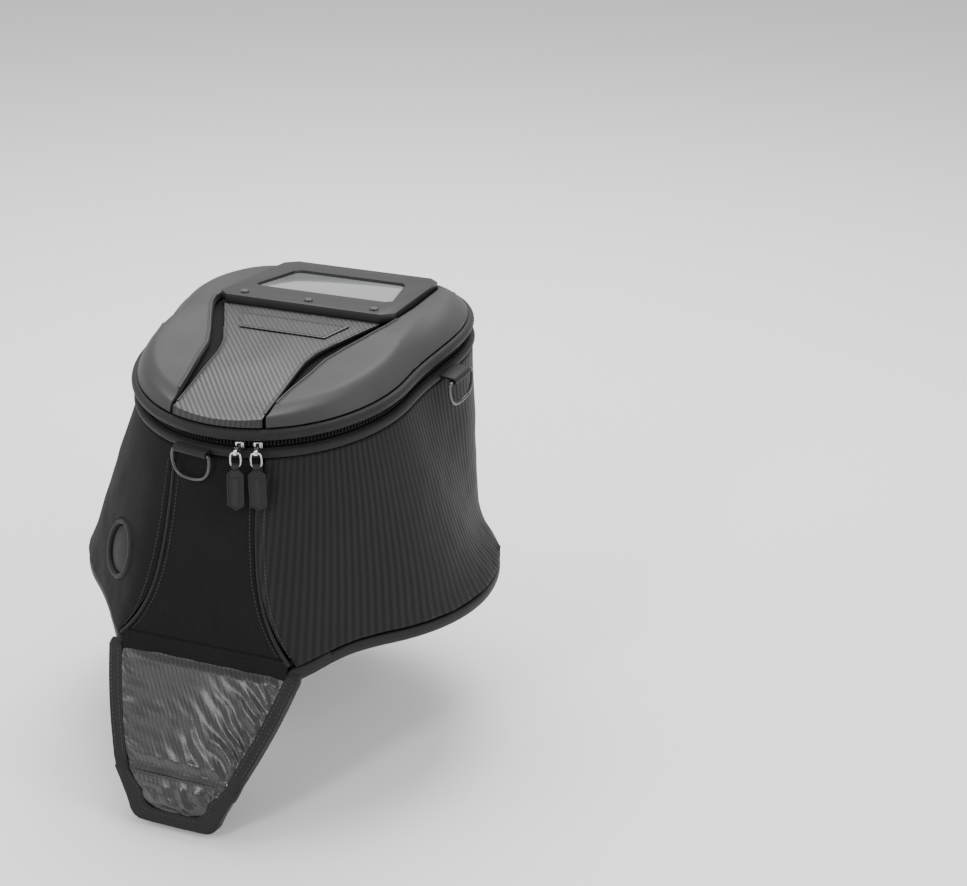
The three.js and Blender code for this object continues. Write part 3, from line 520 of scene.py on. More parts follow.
def make_panel(node, name, swell, seed, mirrored=False):
    obj = from_node(node, name)
    if mirrored:
        obj.data.transform(Matrix.Diagonal((-1, 1, 1, 1)))
        face_out(obj)
    refine(obj, 3)
    move_points(obj, panel_shape(swell, seed))
    return obj


rear = make_panel("rear_panel", "rear_wall", 1.2, 1)
right_wall = make_panel("side_panel_right", "right_wall", 2.2, 2)
left_wall = make_panel("side_panel_right", "left_wall", 2.0, 5, mirrored=True)
front_wall = make_panel("front_panel", "front_wall", 1.5, 7)


def port_frame():
    """Centre and outward axis of the port, from its ring."""
    co = np.array([v.co for v in cad["port_ring"].data.vertices])
    centre = co.mean(0)
    axis = np.linalg.svd(co - centre)[2][2]
    axis = axis if axis[1] < 0 else -axis
    return Vector(centre), Vector(axis)


PORT_CENTRE, PORT_AXIS = port_frame()


def cut_port(wall):
    turn = PORT_AXIS.to_track_quat("Z", "Y").to_euler()
    bpy.ops.mesh.primitive_cylinder_add(
        vertices=96, radius=PORT_HOLE_RADIUS * MM, depth=0.06, location=PORT_CENTRE, rotation=turn)
    cutter = bpy.context.object
    apply(wall, "BOOLEAN", object=cutter, operation="DIFFERENCE", solver="EXACT")
    bpy.data.objects.remove(cutter)
    shade(wall, 40)


cut_port(left_wall)
for wall, node, material, slot in (
    (rear, "rear_panel", FABRIC, "fabric"),
    (right_wall, "side_panel_right", RIBBED, "ribbed_fabric"),
    (left_wall, "side_panel_left", FABRIC, "fabric"),
    (front_wall, "front_panel", FABRIC, "fabric"),
):
    cloth_uv(wall, wall_uv)
    settle(wall, "bag_body", material, slot, [node])


# ------------------------------------------------------------------ round trim
def make_trim(node, name, body, material, slot, levels=2, sharp=70, uv=ring_uv, bevel=0.0):
    obj = refine(from_node(node, name), levels, sharp, bevel)
    cloth_uv(obj, uv)
    return settle(obj, body, material, slot, [node])


for side in ("left", "right"):
    make_trim(f"seam_piping_{side}", f"piping_{side}", "bag_body", TAPE, "webbing",
              uv=lambda p: (p.z * 1.2, p.x, 0))
    make_trim(f"base_binding_{side}", f"base_edge_{side}", "bag_body", TAPE, "webbing", uv=wall_uv)
make_trim("base_binding_front", "base_edge_front", "bag_body", TAPE, "webbing", uv=wall_uv)
make_trim("rim_band", "rim_band_cover", "bag_body", TAPE, "webbing", sharp=80)
make_trim("lid_welt", "welt_cover", "lid", TAPE, "webbing", sharp=80)


# ------------------------------------------------------------------ zip teeth
def one_tooth():
    bpy.ops.object.select_all(action="DESELECT")
    bpy.ops.mesh.primitive_cube_add(size=1)
    tooth = bpy.context.object
    tooth.data.transform(Matrix.Diagonal((1.7, 3.0, 1.55, 1)))
    apply(tooth, "BEVEL", width=0.45, segments=1)
    mesh = tooth.data.copy()
    bpy.data.objects.remove(tooth)
    return mesh


def repeat(name, mesh, places):
    """One piece that holds a copy of a small mesh at each place."""
    bm = bmesh.new()
    for place in places:
        count = len(bm.verts)
        bm.from_mesh(mesh)
        bm.verts.ensure_lookup_table()
        for v in bm.verts[count:]:
            v.co = place @ v.co * MM
    return shade(from_bmesh(name, bm), 35)


def ring_frame(degrees, out, rise):
    here = ring_place(degrees, out, rise)
    before, after = (ring_place(degrees + turn, out, rise) for turn in (-0.4, 0.4))
    along = (after - before).normalized()
    outward = along.cross(RING_UP).normalized()
    up = outward.cross(along)
    return Matrix.Translation(here) @ Matrix((along, -outward, up)).transposed().to_4x4()


def zip_row(name, body, node, rise, shift):
    angles, a = [], -157.0 + shift
    while a < 157:
        angles.append(a)
        step = (ring_place(a + 0.5) - ring_place(a - 0.5)).length
        a += 3.1 / step
    obj = repeat(name, one_tooth(), [ring_frame(a, -7.0, rise) for a in angles])
    return settle(obj, body, RUBBER, "zip_plastic", [node])


zip_row("zip_coil_upper", "lid", "zip_teeth_upper", -ZIP_DROP + 1.05, 0.0)
zip_row("zip_coil_lower", "bag_body", "zip_teeth_lower", -ZIP_DROP - 1.05, 0.7)
for row, body in (("upper", "lid"), ("lower", "bag_body")):
    make_trim(f"zip_tape_{row}", f"zip_ribbon_{row}", body, FABRIC, "fabric", levels=1, sharp=40)


# ------------------------------------------------------------------ lid
def inside_edge(p):
    """How far a point of the lid is inside the ring line, seen from above."""
    if p.y >= LID_CENTRE_Y:
        return abs(ring_plan(math.copysign(90, p.x)).x) - abs(p.x)
    centre = Vector((0, LID_CENTRE_Y))
    edge = ring_plan(math.degrees(math.atan2(p.x, LID_CENTRE_Y - p.y)))
    return (edge - centre).length - (p.to_2d() - centre).length


def lid_shape(seed, shoulder=0.0):
    """Slight unevenness, and a moulded shoulder where the top turns down to the edge."""
    def rule(p, n):
        uneven = n * (0.35 * soft_noise(p, 30, seed))
        if shoulder == 0 or n.z < 0.15:
            return uneven
        inner = inside_edge(p) - SHOULDER_INSET
        profile = math.exp(-(inner / 8) ** 2) if inner < 0 else 1 - smooth(inner / 55)
        return uneven + Vector((0, 0, shoulder * smooth((110 - p.y) / 60) * profile))
    return rule


def make_skin(node, name, material, slot, seed, bevel, shoulder=0.0):
    obj = refine(from_node(node, name), 3, 55, bevel)
    move_points(obj, lid_shape(seed, shoulder))
    cloth_uv(obj, plan_uv)
    return settle(obj, "lid", material, slot, [node])


wings = [make_skin(f"wing_{side}", f"wing_skin_{side}", LID_SKIN, "lid_skin", seed, 0.9, 3.6)
         for side, seed in (("left", 11), ("right", 12))]
channel = make_skin("channel_panel", "channel_skin", CHANNEL_CLOTH, "channel_fabric", 13, 0.9)
badge = make_trim("badge_patch", "blank_patch", "lid", CHANNEL_CLOTH, "channel_fabric", 2, 50, plan_uv, 0.3)
make_trim("lid_shell", "valley_cloth", "lid", FABRIC, "fabric", 2, 60, plan_uv)


# ------------------------------------------------------------------ map pocket
def make_hard(node, name, body, material, slot, bevel, segments=3):
    """A hard piece with bevelled edges."""
    obj = from_node(node, name)
    edit(obj, ("dissolve_limited", {"angle_limit": math.radians(1)}))
    apply(obj, "BEVEL", width=bevel * MM, segments=segments, limit_method="ANGLE",
          angle_limit=math.radians(30), use_clamp_overlap=True)
    shade(obj, 40)
    return settle(obj, body, material, slot, [node])


make_hard("map_bezel", "pocket_frame", "lid", PLASTIC, "frame_plastic", 1.4)
make_hard("map_window", "pocket_window", "lid", FILM, "window", 0.3)
for i in (1, 2, 3):
    make_hard(f"bezel_screw_{i}", f"frame_screw_{i}", "lid", DARK_METAL, "dark_metal", 0.35)


# ------------------------------------------------------------------ hardware
for side in ("left", "right"):
    make_hard(f"zip_slider_{side}", f"slider_{side}", f"slider_{side}", STEEL, "steel", 0.35, 2)
    make_trim(f"pull_bail_{side}", f"bail_{side}", f"pull_{side}", STEEL, "steel", 2, 80)
    make_hard(f"pull_tab_{side}", f"tab_{side}", f"pull_{side}", LEATHER, "pull_leather", 0.5)
for node in ("rear", "front_left", "front_right"):
    make_trim(f"dring_{node}", f"d_wire_{node}", f"ring_{node}", DARK_METAL, "dark_metal", 2, 80)
    make_hard(f"dring_tab_{node}", f"d_loop_{node}", "bag_body", TAPE, "webbing", 0.4)
make_trim("port_ring", "port_collar", "bag_body", RUBBER, "rubber", 2, 25)
make_trim("port_membrane", "port_disc", "bag_body", RUBBER, "rubber", 2, 45)


# ------------------------------------------------------------------ tongue
def pucker(x, t, half):
    """Height of the padded tongue's face: crowned, with gathers that run in from its bindings."""
    p = Vector((x, t, 0))
    side = abs(x) / half
    crown = 3.2 * (1 - side ** 3.5)
    right = half - x
    left = half + x
    wander = 5 * soft_noise(p, 22, 4)
    low = smooth(t / 60)
    wave_r = math.sin((t + 0.7 * right + wander) * 2 * math.pi / 12)
    gather_r = (0.4 + 0.6 * low) * math.exp(-right / 30) * wave_r
    gather_l = math.exp(-left / 13) * math.sin((t - 0.3 * left + wander) * 2 * math.pi / 11)
    broad = soft_noise(Vector((x * 0.55 + t * 0.2, t * 1.6, 0)), 24, 8)
    seam = min(1, right / 4) * min(1, left / 4)
    return crown + seam * (1.9 * gather_r + 0.7 * gather_l + 1.7 * broad)


def padded_flap(name, origin, slope, start, end, half_at, thickness, seed):
    bpy.ops.object.select_all(action="DESELECT")
    bpy.ops.mesh.primitive_grid_add(x_subdivisions=150, y_subdivisions=120, size=1)
    obj = bpy.context.object
    obj.name = name
    for v in obj.data.vertices:
        down = start + (end - start) * (0.5 - v.co.y)
        half = half_at(down)
        x = v.co.x * 2 * half
        ends = smooth((down - start) / 9) * smooth((end - down) / 9)
        lift = pucker(x, down + seed, half) * (0.25 + 0.75 * ends) - 1.2 * (1 - ends)
        v.co = slope_place(origin, slope, x, down, lift) * MM
    face_out(obj)
    if sum(f.normal.y for f in obj.data.polygons) > 0:
        edit(obj, ("flip_normals", {}))
    apply(obj, "SOLIDIFY", thickness=thickness * MM, offset=-1)
    shade(obj)
    along = Vector((0, -math.cos(slope), -math.sin(slope)))
    cloth_uv(obj, lambda p: (p.x, (p - origin).dot(along), 0))
    return obj


def tip_half(t):
    if t <= TIP_START:
        return TONGUE_FOLD_HALF
    if t < TIP_SHOULDER:
        return TONGUE_FOLD_HALF - TIP_NARROWING * (t - TIP_START) / (TIP_SHOULDER - TIP_START)
    drop = math.sqrt(max(0, 1 - ((t - TIP_SHOULDER) / TIP_CORNER) ** 2))
    return TIP_END_HALF - TIP_CORNER + TIP_CORNER * drop


tongue = padded_flap("tongue_cover", TONGUE_ORIGIN, TONGUE_SLOPE, 4, 95, tongue_half, 4.4, 0)
settle(tongue, "tongue", TONGUE_CLOTH, "tongue_vinyl", ["tongue_pad"])
tip = padded_flap("tip_cover", TIP_ORIGIN, TIP_SLOPE, 3, 32.8, tip_half, 4.4, 40)
settle(tip, "tongue_tip", TONGUE_CLOTH, "tongue_vinyl", ["tip_pad"])


for side in ("left", "right"):
    make_trim(f"tongue_binding_{side}", f"tongue_edge_{side}", "tongue", TAPE, "webbing",
              3, 30, tongue_uv, 1.6)
make_trim("tip_binding", "tip_edge", "tongue_tip", TAPE, "webbing", 2, 30, tongue_uv, 1.6)


def bent_cloth(name, rows, half_at, thickness, columns=90):
    """A strip of cloth through rows of (y, z); half_at gives a row's half width."""
    bpy.ops.object.select_all(action="DESELECT")
    bpy.ops.mesh.primitive_grid_add(x_subdivisions=columns, y_subdivisions=len(rows) - 1, size=1)
    obj = bpy.context.object
    obj.name = name
    for v in obj.data.vertices:
        i = round((0.5 - v.co.y) * (len(rows) - 1))
        y, z = rows[i]
        x = v.co.x * 2 * half_at(i / (len(rows) - 1))
        sag = 0.8 * soft_noise((x, y, z), 14, 6) * math.sin(math.pi * i / (len(rows) - 1))
        v.co = Vector((x, y - sag, z)) * MM
    if sum(f.normal.y for f in obj.data.polygons) > 0:
        edit(obj, ("flip_normals", {}))
    apply(obj, "SOLIDIFY", thickness=thickness * MM, offset=-1)
    shade(obj)
    cloth_uv(obj, tongue_uv)
    return obj


def bend_rows(start, middle, end, count=10):
    """Points of a smooth bend through three places in the YZ plane."""
    rows = []
    for i in range(count + 1):
        t = i / count
        rows.append([(1 - t) ** 2 * a + 2 * t * (1 - t) * b + t * t * c
                     for a, b, c in zip(start, middle, end)])
    return rows


def slope_row(origin, slope, down, lift):
    p = slope_place(origin, slope, 0, down, lift)
    return p.y, p.z


fold_top = bent_cloth(
    "tongue_fold_cloth",
    bend_rows((-157.9, 6.5), (-160.6, -1.6), slope_row(TONGUE_ORIGIN, TONGUE_SLOPE, 8.5, -1.6)),
    lambda s: 76.5 - 1.5 * s, 1.6,
)
fold_top.data.materials.append(FABRIC)
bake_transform(fold_top)
fold_low = bent_cloth(
    "tip_fold_cloth",
    bend_rows(slope_row(TONGUE_ORIGIN, TONGUE_SLOPE, 91, -1.9), slope_row(TIP_ORIGIN, TIP_SLOPE, 0, -0.9),
              slope_row(TIP_ORIGIN, TIP_SLOPE, 7, -1.9)),
    lambda s: 46 - 4 * s, 1.6,
)
fold_low.data.materials.append(TONGUE_CLOTH)
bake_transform(fold_low)


def base_round(degrees, reach):
    a = math.radians(degrees)
    return Vector((BASE_HALF_WIDTH * math.sin(a), WALL_CENTRE_Y - reach * math.cos(a)))


def base_plan(degrees):
    """The base outline: straight behind, a short straight corner, then round."""
    a = abs(degrees)
    if a <= REAR_EDGE_ANGLE:
        return Vector((REAR_EDGE_HALF * degrees / REAR_EDGE_ANGLE, REAR_EDGE_Y))
    if a >= ROUND_ANGLE:
        at = base_round(a, BASE_FRONT_REACH if a > 90 else BASE_REAR_REACH)
    else:
        share = (a - REAR_EDGE_ANGLE) / (ROUND_ANGLE - REAR_EDGE_ANGLE)
        at = Vector((REAR_EDGE_HALF, REAR_EDGE_Y)).lerp(base_round(ROUND_ANGLE, BASE_REAR_REACH), share)
    return Vector((math.copysign(at.x, degrees), at.y))


def hem_height(degrees):
    return REAR_HEM_Z + HEM_RISE * smooth((abs(degrees) - REAR_EDGE_ANGLE) / HEM_RISE_ANGLE)


def base_place(degrees, out, z):
    along = (base_plan(degrees + 0.5) - base_plan(degrees - 0.5)).normalized()
    at = base_plan(degrees) + Vector((along.y, -along.x)) * out
    return Vector((at.x, at.y, z))


def between(before, start, end, after, t):
    """A smooth curve through a row of values."""
    return 0.5 * (2 * start + (end - before) * t + (2 * before - 5 * start + 4 * end - after) * t * t
                  + (3 * start - before - 3 * end + after) * t ** 3)


def tape_run(name, stations, steps=6):
    """A tape that turns as it runs through stations of (place, face direction, width, thickness)."""
    ends = [stations[0], *stations, stations[-1]]
    route = []
    for i in range(1, len(stations)):
        for j in range(steps):
            route.append([between(*(ends[i + k][part] for k in (-1, 0, 1, 2)), j / steps)
                          for part in range(4)])
    route.append(list(stations[-1]))
    bm = bmesh.new()
    rings = []
    for i, (place, face, width, thick) in enumerate(route):
        along = (route[min(i + 1, len(route) - 1)][0] - route[max(i - 1, 0)][0]).normalized()
        face = (face - along * face.dot(along)).normalized()
        across = along.cross(face)
        ring = []
        for k in range(16):
            turn = 2 * math.pi * k / 16
            c, d = math.cos(turn), math.sin(turn)
            side = math.copysign(abs(c) ** 0.55, c) * width / 2
            up = math.copysign(abs(d) ** 0.7, d) * thick / 2
            ring.append(bm.verts.new((place + across * side + face * up) * MM))
        rings.append(ring)
    for one, two in zip(rings, rings[1:]):
        for k in range(16):
            bm.faces.new((one[k], one[(k + 1) % 16], two[(k + 1) % 16], two[k]))
    bm.faces.new(rings[0][::-1])
    bm.faces.new(rings[-1])
    bmesh.ops.recalc_face_normals(bm, faces=bm.faces)
    obj = shade(from_bmesh(name, bm))
    cloth_uv(obj, tongue_uv)
    obj.data.materials.append(TAPE)
    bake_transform(obj)


def base_station(degrees, out, width, thick, turn=0.0):
    outward = (base_place(degrees, 1, 0) - base_place(degrees, 0, 0)).normalized()
    place = base_place(degrees, out, hem_height(degrees) - BINDING_DROP)
    return place, outward.lerp(TONGUE_OUT, turn).normalized(), width, thick


def tongue_station(sign, t, width, thick):
    x = sign * (tongue_half(t) + BINDING_OFFSET)
    return slope_place(TONGUE_ORIGIN, TONGUE_SLOPE, x, t, BINDING_LIFT), TONGUE_OUT, width, thick


def tip_station(sign, t, width, thick):
    x = sign * (TONGUE_FOLD_HALF + 6.3 - TIP_NARROWING * max(0, t - TIP_START) / 30)
    return slope_place(TIP_ORIGIN, TIP_SLOPE, x, t, BINDING_LIFT), TIP_OUT, width, thick


for side, sign in SIDES:
    tape_run(f"corner_tape_{side}",
             [base_station(sign * 35, -2.0, 11.2, 5.2), base_station(sign * 31, -1.8, 11.4, 5.6),
              base_station(sign * 27.6, -1.0, 11.8, 6.4, 0.25), tongue_station(sign, 3, 12.6, 8.2),
              tongue_station(sign, 9, 12.7, 8.4), tongue_station(sign, 15, 12.5, 8.1)])
    tape_run(f"fold_tape_{side}",
             [tongue_station(sign, 86, 12.5, 8.1), tongue_station(sign, 92, 12.6, 8.3),
              tip_station(sign, 5, 12.6, 8.3), tip_station(sign, 10, 12.5, 8.1)])


# ------------------------------------------------------------------ hem behind the base edge
def ribbon(name, columns, thickness, body, material, slot, uv):
    """A thin strip of cloth whose columns each hold the same count of places."""
    obj = strip_of(name, columns)
    apply(obj, "SOLIDIFY", thickness=thickness * MM, offset=0)
    face_out(obj)
    shade(obj)
    cloth_uv(obj, uv)
    return settle(obj, body, material, slot)


ribbon("hem_cloth",
       [[base_place(a, -5.6 if z < 3 else -4.6, hem_height(a) + z - 3) for z in (-8.5, -2, 4, 7)]
        for a in np.linspace(-150, 150, 160)],
       1.0, "bag_body", FABRIC, "fabric", wall_uv)


# ------------------------------------------------------------------ stitching
def one_stitch(length, width):
    bpy.ops.object.select_all(action="DESELECT")
    bpy.ops.mesh.primitive_uv_sphere_add(segments=8, ring_count=6, radius=1)
    stitch = bpy.context.object
    stitch.data.transform(Matrix.Diagonal((length / 2, width / 2, width / 2, 1)))
    mesh = stitch.data.copy()
    bpy.data.objects.remove(stitch)
    return mesh


def walk(points, pitch):
    """Evenly spaced (place, direction) along a path of points."""
    found, left = [], 0.0
    for a, b in zip(points, points[1:]):
        span = (b - a).length
        way = (b - a).normalized()
        while left < span:
            found.append((a + way * left, way))
            left += pitch
        left -= span
    return found


def sew(name, points, face, body, pitch=3.4, length=2.5, width=0.75):
    """A row of stitches along points; face(point) gives the outward direction there."""
    places = []
    for p, way in walk(points, pitch):
        up = face(p)
        across = up.cross(way).normalized()
        up = way.cross(across)
        places.append(Matrix.Translation(p) @ Matrix((way, across, up)).transposed().to_4x4())
    obj = repeat(name, one_stitch(length, width), places)
    return settle(obj, body, THREAD)


def surface_of(obj):
    tree = BVHTree.FromObject(obj, bpy.context.evaluated_depsgraph_get())

    def find(p):
        place, normal, _, _ = tree.find_nearest(p * MM)
        return place / MM, normal
    return find


def sew_on(name, obj, points, body, **settings):
    """Stitches that lie on the outer face of a piece, along a path near it."""
    find = surface_of(obj)
    laid = []
    for p in points:
        out = Vector((p.x, p.y - WALL_CENTRE_Y, 0)).normalized()
        place, normal = find(p + out * 6)
        laid.append(place + normal * STITCH_LIFT)
    return sew(name, laid, lambda p: find(p)[1], body, **settings)


def piping_path(side, shift):
    """The seam's own line, moved sideways along the wall."""
    sign = -1 if side == "left" else 1
    points = []
    for i in range(3, 46):
        s = i / 48
        angle = SEAM_ANGLE + SEAM_FOOT_TURN * (1 - s) ** 5 + SEAM_TOP_TURN * s ** 6
        low = base_plan(sign * angle)
        top = ring_place(sign * angle, -2, -21.5)
        w = s ** 1.06
        flat = low.lerp(top.to_2d(), w)
        at = Vector((flat.x, flat.y, REAR_HEM_Z + (top.z - REAR_HEM_Z) * s))
        tangent = Vector((math.cos(math.radians(angle)), sign * math.sin(math.radians(angle)), 0))
        points.append(at + tangent * shift)
    return points


for (side, sign), wall in zip(SIDES, (left_wall, right_wall)):
    sew_on(f"seam_stitch_{side}_outer", wall, piping_path(side, sign * 6.0), "bag_body", pitch=3.2)
    sew_on(f"seam_stitch_{side}_inner", rear, piping_path(side, -sign * 6.0), "bag_body", pitch=3.2)


def seam_backing(side):
    """A strip of dark cloth that closes the seam from inside."""
    columns = []
    for near, far in zip(piping_path(side, -8), piping_path(side, 8)):
        inward = -Vector((near.x, near.y - WALL_CENTRE_Y, 0)).normalized() * 4.6
        columns.append([near.lerp(far, k / 4) + inward for k in range(5)])
    ribbon(f"seam_backing_{side}", columns, 0.8, "bag_body", FABRIC, "fabric", wall_uv)


for side in ("left", "right"):
    seam_backing(side)


def tip_stitch_places():
    """Down one side of the tip, round both of its corners and up the other side."""
    side = [(TONGUE_FOLD_HALF + 3 - TIP_NARROWING * (t - TIP_START) / 16, t) for t in range(6, 20, 2)]
    corner = [(19 + 14 * math.cos(a), 22 + 14 * math.sin(a)) for a in np.linspace(0.2, 1.57, 8)]
    half = side + corner
    return half + [(x, 36) for x in range(16, -17, -4)] + [(-x, t) for x, t in reversed(half)]


def flap_stitch(name, origin, slope, places, lift, body):
    outward = Vector((0, -math.sin(slope), math.cos(slope)))
    points = [slope_place(origin, slope, x, t, lift) for x, t in places]
    return sew(name, points, lambda p: outward, body, pitch=3.6, length=2.7, width=0.8)


for side, sign in SIDES:
    for row, inset in (("inner", 3.0), ("outer", 9.4)):
        flap_stitch(f"tongue_stitch_{side}_{row}", TONGUE_ORIGIN, TONGUE_SLOPE,
                    [(sign * (tongue_half(t) + inset), t) for t in range(8, 92, 3)], 0.42, "tongue")
flap_stitch("fold_stitch", TONGUE_ORIGIN, TONGUE_SLOPE, [(x, 90) for x in range(-42, 44, 4)], 0.3, "tongue")
flap_stitch("tip_stitch", TIP_ORIGIN, TIP_SLOPE, tip_stitch_places(), 0.42, "tongue_tip")


WING_EDGE = ((43, -92), (46, -70), (51, -45), (54, -22), (62, -2), (73, 20), (82, 40), (86, 58))
CHANNEL_EDGE = ((40, -104), (40, -85), (40, -60), (40, -30), (43, -16), (52, 2), (62, 20), (71, 38))
PATCH_EDGE = ((-38, 10), (38, 10), (47, 30), (-47, 30), (-38, 10))


def above(edge, sign=1, shift=0.0):
    """An edge of the lid seen from above, moved sideways and held clear over the lid."""
    return [Vector((sign * (x + shift), y, LID_CLEAR_Z)) for x, y in edge]


def drop_on(obj, points):
    """The places on top of a piece straight below some points, with finer steps between them."""
    tree = BVHTree.FromObject(obj, bpy.context.evaluated_depsgraph_get())
    laid = []
    for a, b in zip(points, points[1:]):
        for i in range(6):
            p = a.lerp(b, i / 6)
            hit, normal, _, _ = tree.ray_cast(p * MM, Vector((0, 0, -1)))
            if hit and normal.z > 0.3:
                laid.append((hit / MM + normal * STITCH_LIFT, normal))
    return laid


def sew_down(name, obj, points, body):
    laid = drop_on(obj, points)
    up = laid[len(laid) // 2][1]
    return sew(name, [p for p, _ in laid], lambda p: up, body, pitch=3.0, length=2.2, width=0.7)


for (side, sign), wing in zip(SIDES, wings):
    sew_down(f"wing_stitch_{side}", wing, above(WING_EDGE, sign, 3.2), "lid")
    sew_down(f"channel_stitch_{side}", channel, above(CHANNEL_EDGE, sign, -3.4), "lid")
sew_down("patch_stitch", badge, above(PATCH_EDGE), "lid")


def cord(name, points, radius, body, material, slot):
    """A round raised edge that follows a line of points."""
    curve = bpy.data.curves.new(name, "CURVE")
    curve.dimensions = "3D"
    curve.bevel_depth = radius * MM
    curve.bevel_resolution = 3
    curve.use_fill_caps = True
    spline = curve.splines.new("POLY")
    spline.points.add(len(points) - 1)
    for point, place in zip(spline.points, points):
        point.co = (*(place * MM), 1)
    only(new_object(name, curve))
    bpy.ops.object.convert(target="MESH")
    obj = shade(face_out(bpy.context.object))
    return settle(obj, body, material, slot)


for (side, sign), wing in zip(SIDES, wings):
    edge = [p for p, _ in drop_on(wing, above(WING_EDGE, sign, 0.9))]
    cord(f"wing_edge_{side}", edge, 1.0, "lid", LID_SKIN, "lid_skin")
    edge = [p for p, _ in drop_on(channel, above(CHANNEL_EDGE, sign, -0.9))]
    cord(f"channel_edge_{side}", edge, 0.9, "lid", LID_SKIN, "lid_skin")


# ------------------------------------------------------------------ pull tabs
PULL_LEAN = math.radians(16)


def tab_boss(name, lower_places, upper_places):
    bm = bmesh.new()
    lower = [bm.verts.new(p * MM) for p in lower_places]
    upper = [bm.verts.new(p * MM) for p in upper_places]
    bm.faces.new(upper)
    bm.faces.new(lower[::-1])
    for k in range(5):
        bm.faces.new((lower[k], lower[(k + 1) % 5], upper[(k + 1) % 5], upper[k]))
    bmesh.ops.recalc_face_normals(bm, faces=bm.faces)
    boss = from_bmesh(name, bm)
    apply(boss, "BEVEL", width=0.3 * MM, segments=2)
    return shade(boss, 40)


def dress_pull(joint):
    """Stitches, a raised rim and a boss on the face of one pull tab."""
    side = joint["name"].rsplit("_", 1)[1]
    body = f"pull_{side}"
    across = -Vector(joint["axis"]).normalized()
    inward = RING_UP.cross(across).normalized()
    facing = -inward * math.cos(PULL_LEAN) + RING_UP * math.sin(PULL_LEAN)
    down = -RING_UP * math.cos(PULL_LEAN) - inward * math.sin(PULL_LEAN)
    hinge = Vector(joint["pos_m"]) / MM

    def on_tab(outline, lift):
        return [hinge + across * x + down * t + facing * lift for x, t in outline]

    stitched = [(-5.2, 18.5), (-5.2, 42.2), (0, 45.2), (5.2, 42.2), (5.2, 18.5),
                (2.6, 15.5), (-2.6, 15.5), (-5.2, 18.5)]
    border = [(-6.4, 17.6), (-6.4, 42.6), (0, 46.4), (6.4, 42.6), (6.4, 17.6),
              (3, 14.4), (-3, 14.4), (-6.4, 17.6)]
    foot = [(-3.4, 20), (3.4, 20), (3.4, 40.5), (0, 42.4), (-3.4, 40.5)]
    top = [(x * 0.8, t + (0.7 if t < 30 else -0.7)) for x, t in foot]
    sew(f"tab_stitch_{side}", on_tab(stitched, 1.6), lambda p: facing, body,
        pitch=1.9, length=1.35, width=0.5)
    cord(f"tab_rim_{side}", on_tab(border, 1.5), 0.75, body, LEATHER, "pull_leather")
    sew(f"tab_centre_{side}", on_tab([(0, 22), (0, 40)], 2.2), lambda p: facing, body,
        pitch=2.0, length=1.4, width=0.6)
    boss = tab_boss(f"tab_boss_{side}", on_tab(foot, 1.45), on_tab(top, 2.15))
    settle(boss, body, LEATHER, "pull_leather")


for joint in frame["joints"]:
    if joint["name"].startswith("pull_swing"):
        dress_pull(joint)


# ------------------------------------------------------------------ front hinge cloth
def hinge_cloth(name, reach, rows):
    """An unzipped stretch of cloth that joins the lid to the body at the front."""
    columns = []
    for degrees in np.linspace(180 - reach, 180 + reach, 60):
        a = degrees if degrees <= 180 else degrees - 360
        columns.append([ring_place(a, out, rise) for out, rise in rows])
    obj = strip_of(name, columns)
    if sum(f.normal.y for f in obj.data.polygons) < 0:
        edit(obj, ("flip_normals", {}))
    apply(obj, "SUBSURF", levels=1, render_levels=1)
    apply(obj, "SOLIDIFY", thickness=0.8 * MM, offset=1)
    shade(obj)
    cloth_uv(obj, ring_uv)
    obj.data.materials.append(FABRIC)
    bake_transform(obj)
    return obj


outer_hinge = hinge_cloth("front_hinge_cloth", 23.5, [
    (0.5, -24.5), (0.6, -21.0), (0.8, -17.0), (1.4, -13.0),
    (1.6, -9.0), (1.2, -5.0), (0.6, -1.5), (0.5, 2.5)])
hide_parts("hinge_strip")
hinge_cloth("hinge_facing", 23.4, [
    (-6.5, -24.5), (-6.5, -18.0), (-5.5, -13.0), (-4.4, -10.8),
    (-4.0, -8.5), (-4.4, -6.2), (-5.5, -4.0), (-6.5, -1.0)])


# ------------------------------------------------------------------ dark cloth under the lid's edge
ribbon("lid_edge_cloth", [[ring_place(a, out, rise) for out, rise in ((-14, 0.0), (-10, 1.0), (-6, 1.5))]
                          for a in np.linspace(-180, 180, 121)],
       0.8, "lid", FABRIC, "fabric", ring_uv)

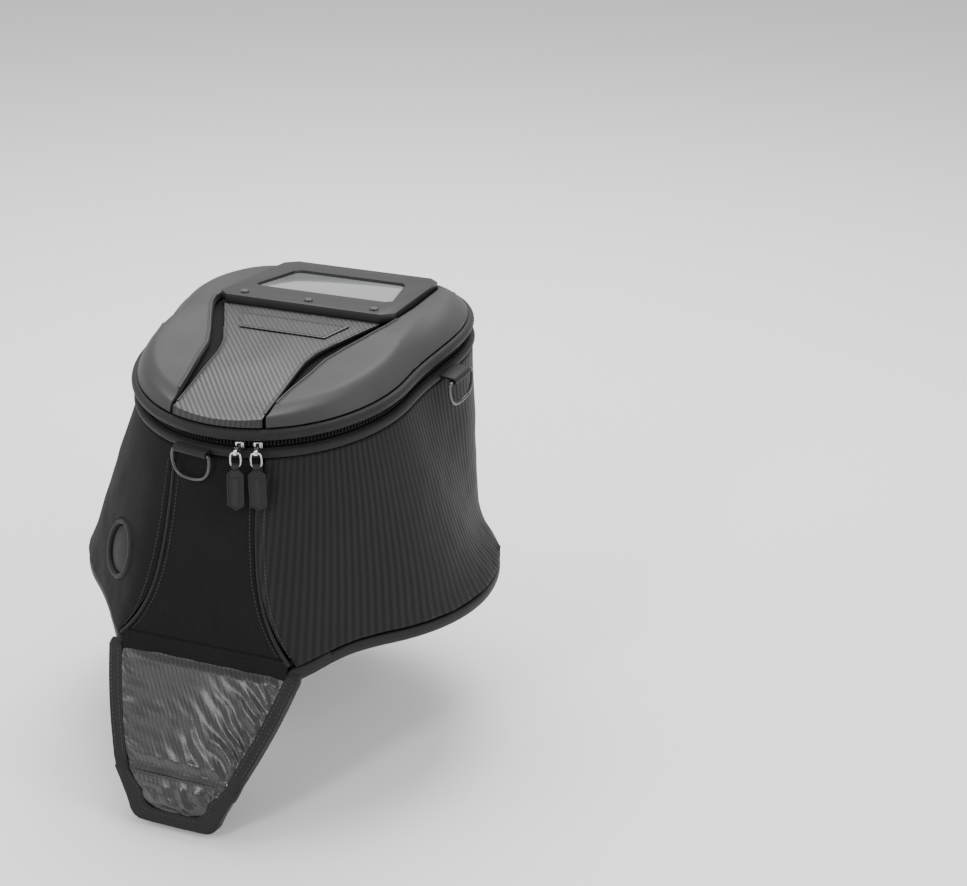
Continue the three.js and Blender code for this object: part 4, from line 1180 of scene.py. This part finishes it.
# ------------------------------------------------------------------ hidden and inner pieces
for node, material in (
    ("base_mat", GRIP), ("base_board", BOARD), ("floor_liner", LINING), ("lid_lining", LINING),
    ("side_stiffener_left", LINING), ("side_stiffener_right", LINING), ("map_gasket", RUBBER),
    ("map_tray", BOARD), ("tongue_backing", GRIP), ("tip_backing", GRIP),
):
    cad[node].data.materials.clear()
    cad[node].data.materials.append(material)

# ------------------------------------------------------------------ stage
bpy.ops.object.select_all(action="DESELECT")
bpy.ops.mesh.primitive_plane_add(size=30, location=(0, 0, -0.132))
floor = bpy.context.object
floor.name = "studio_floor"
pale = bpy.data.materials.new("pale_floor")
pale.use_nodes = True
pale_inputs = pale.node_tree.nodes["Principled BSDF"].inputs
pale_inputs["Base Color"].default_value = (0.9, 0.9, 0.9, 1)
pale_inputs["Roughness"].default_value = 0.9
floor.data.materials.append(pale)

world = bpy.data.worlds.new("studio")
bpy.context.scene.world = world
world.use_nodes = True
world.node_tree.nodes["Background"].inputs["Color"].default_value = (1, 1, 1, 1)
world.node_tree.nodes["Background"].inputs["Strength"].default_value = 0.72


def soft_light(name, place, target, size, power):
    data = bpy.data.lights.new(name, "AREA")
    data.shape = "RECTANGLE"
    data.size, data.size_y = size
    data.energy = power
    light = new_object(name, data)
    light.location = place
    light.rotation_euler = (Vector(target) - Vector(place)).to_track_quat("-Z", "Y").to_euler()


soft_light("top_softbox", (-0.2, 0.9, 1.9), (0, 0, 0.1), (1.6, 1.0), 62)
soft_light("tongue_strip", (-0.3, -1.45, 1.0), (0.02, -0.19, -0.04), (0.22, 0.7), 9)
soft_light("right_softbox", (1.8, -0.3, 0.9), (0, 0, 0.05), (0.8, 1.4), 18)
soft_light("left_softbox", (-1.7, -0.9, 0.9), (0, -0.1, 0.05), (0.6, 1.2), 10)

camera_data = bpy.data.cameras.new("camera")
camera_data.lens = 68.9
camera_data.sensor_width = 36
camera = new_object("camera", camera_data)
camera.location = (0.673, -1.297, 0.797)
camera.rotation_euler = Vector((-0.3189, 0.8484, -0.4226)).to_track_quat("-Z", "Y").to_euler()
bpy.context.scene.camera = camera
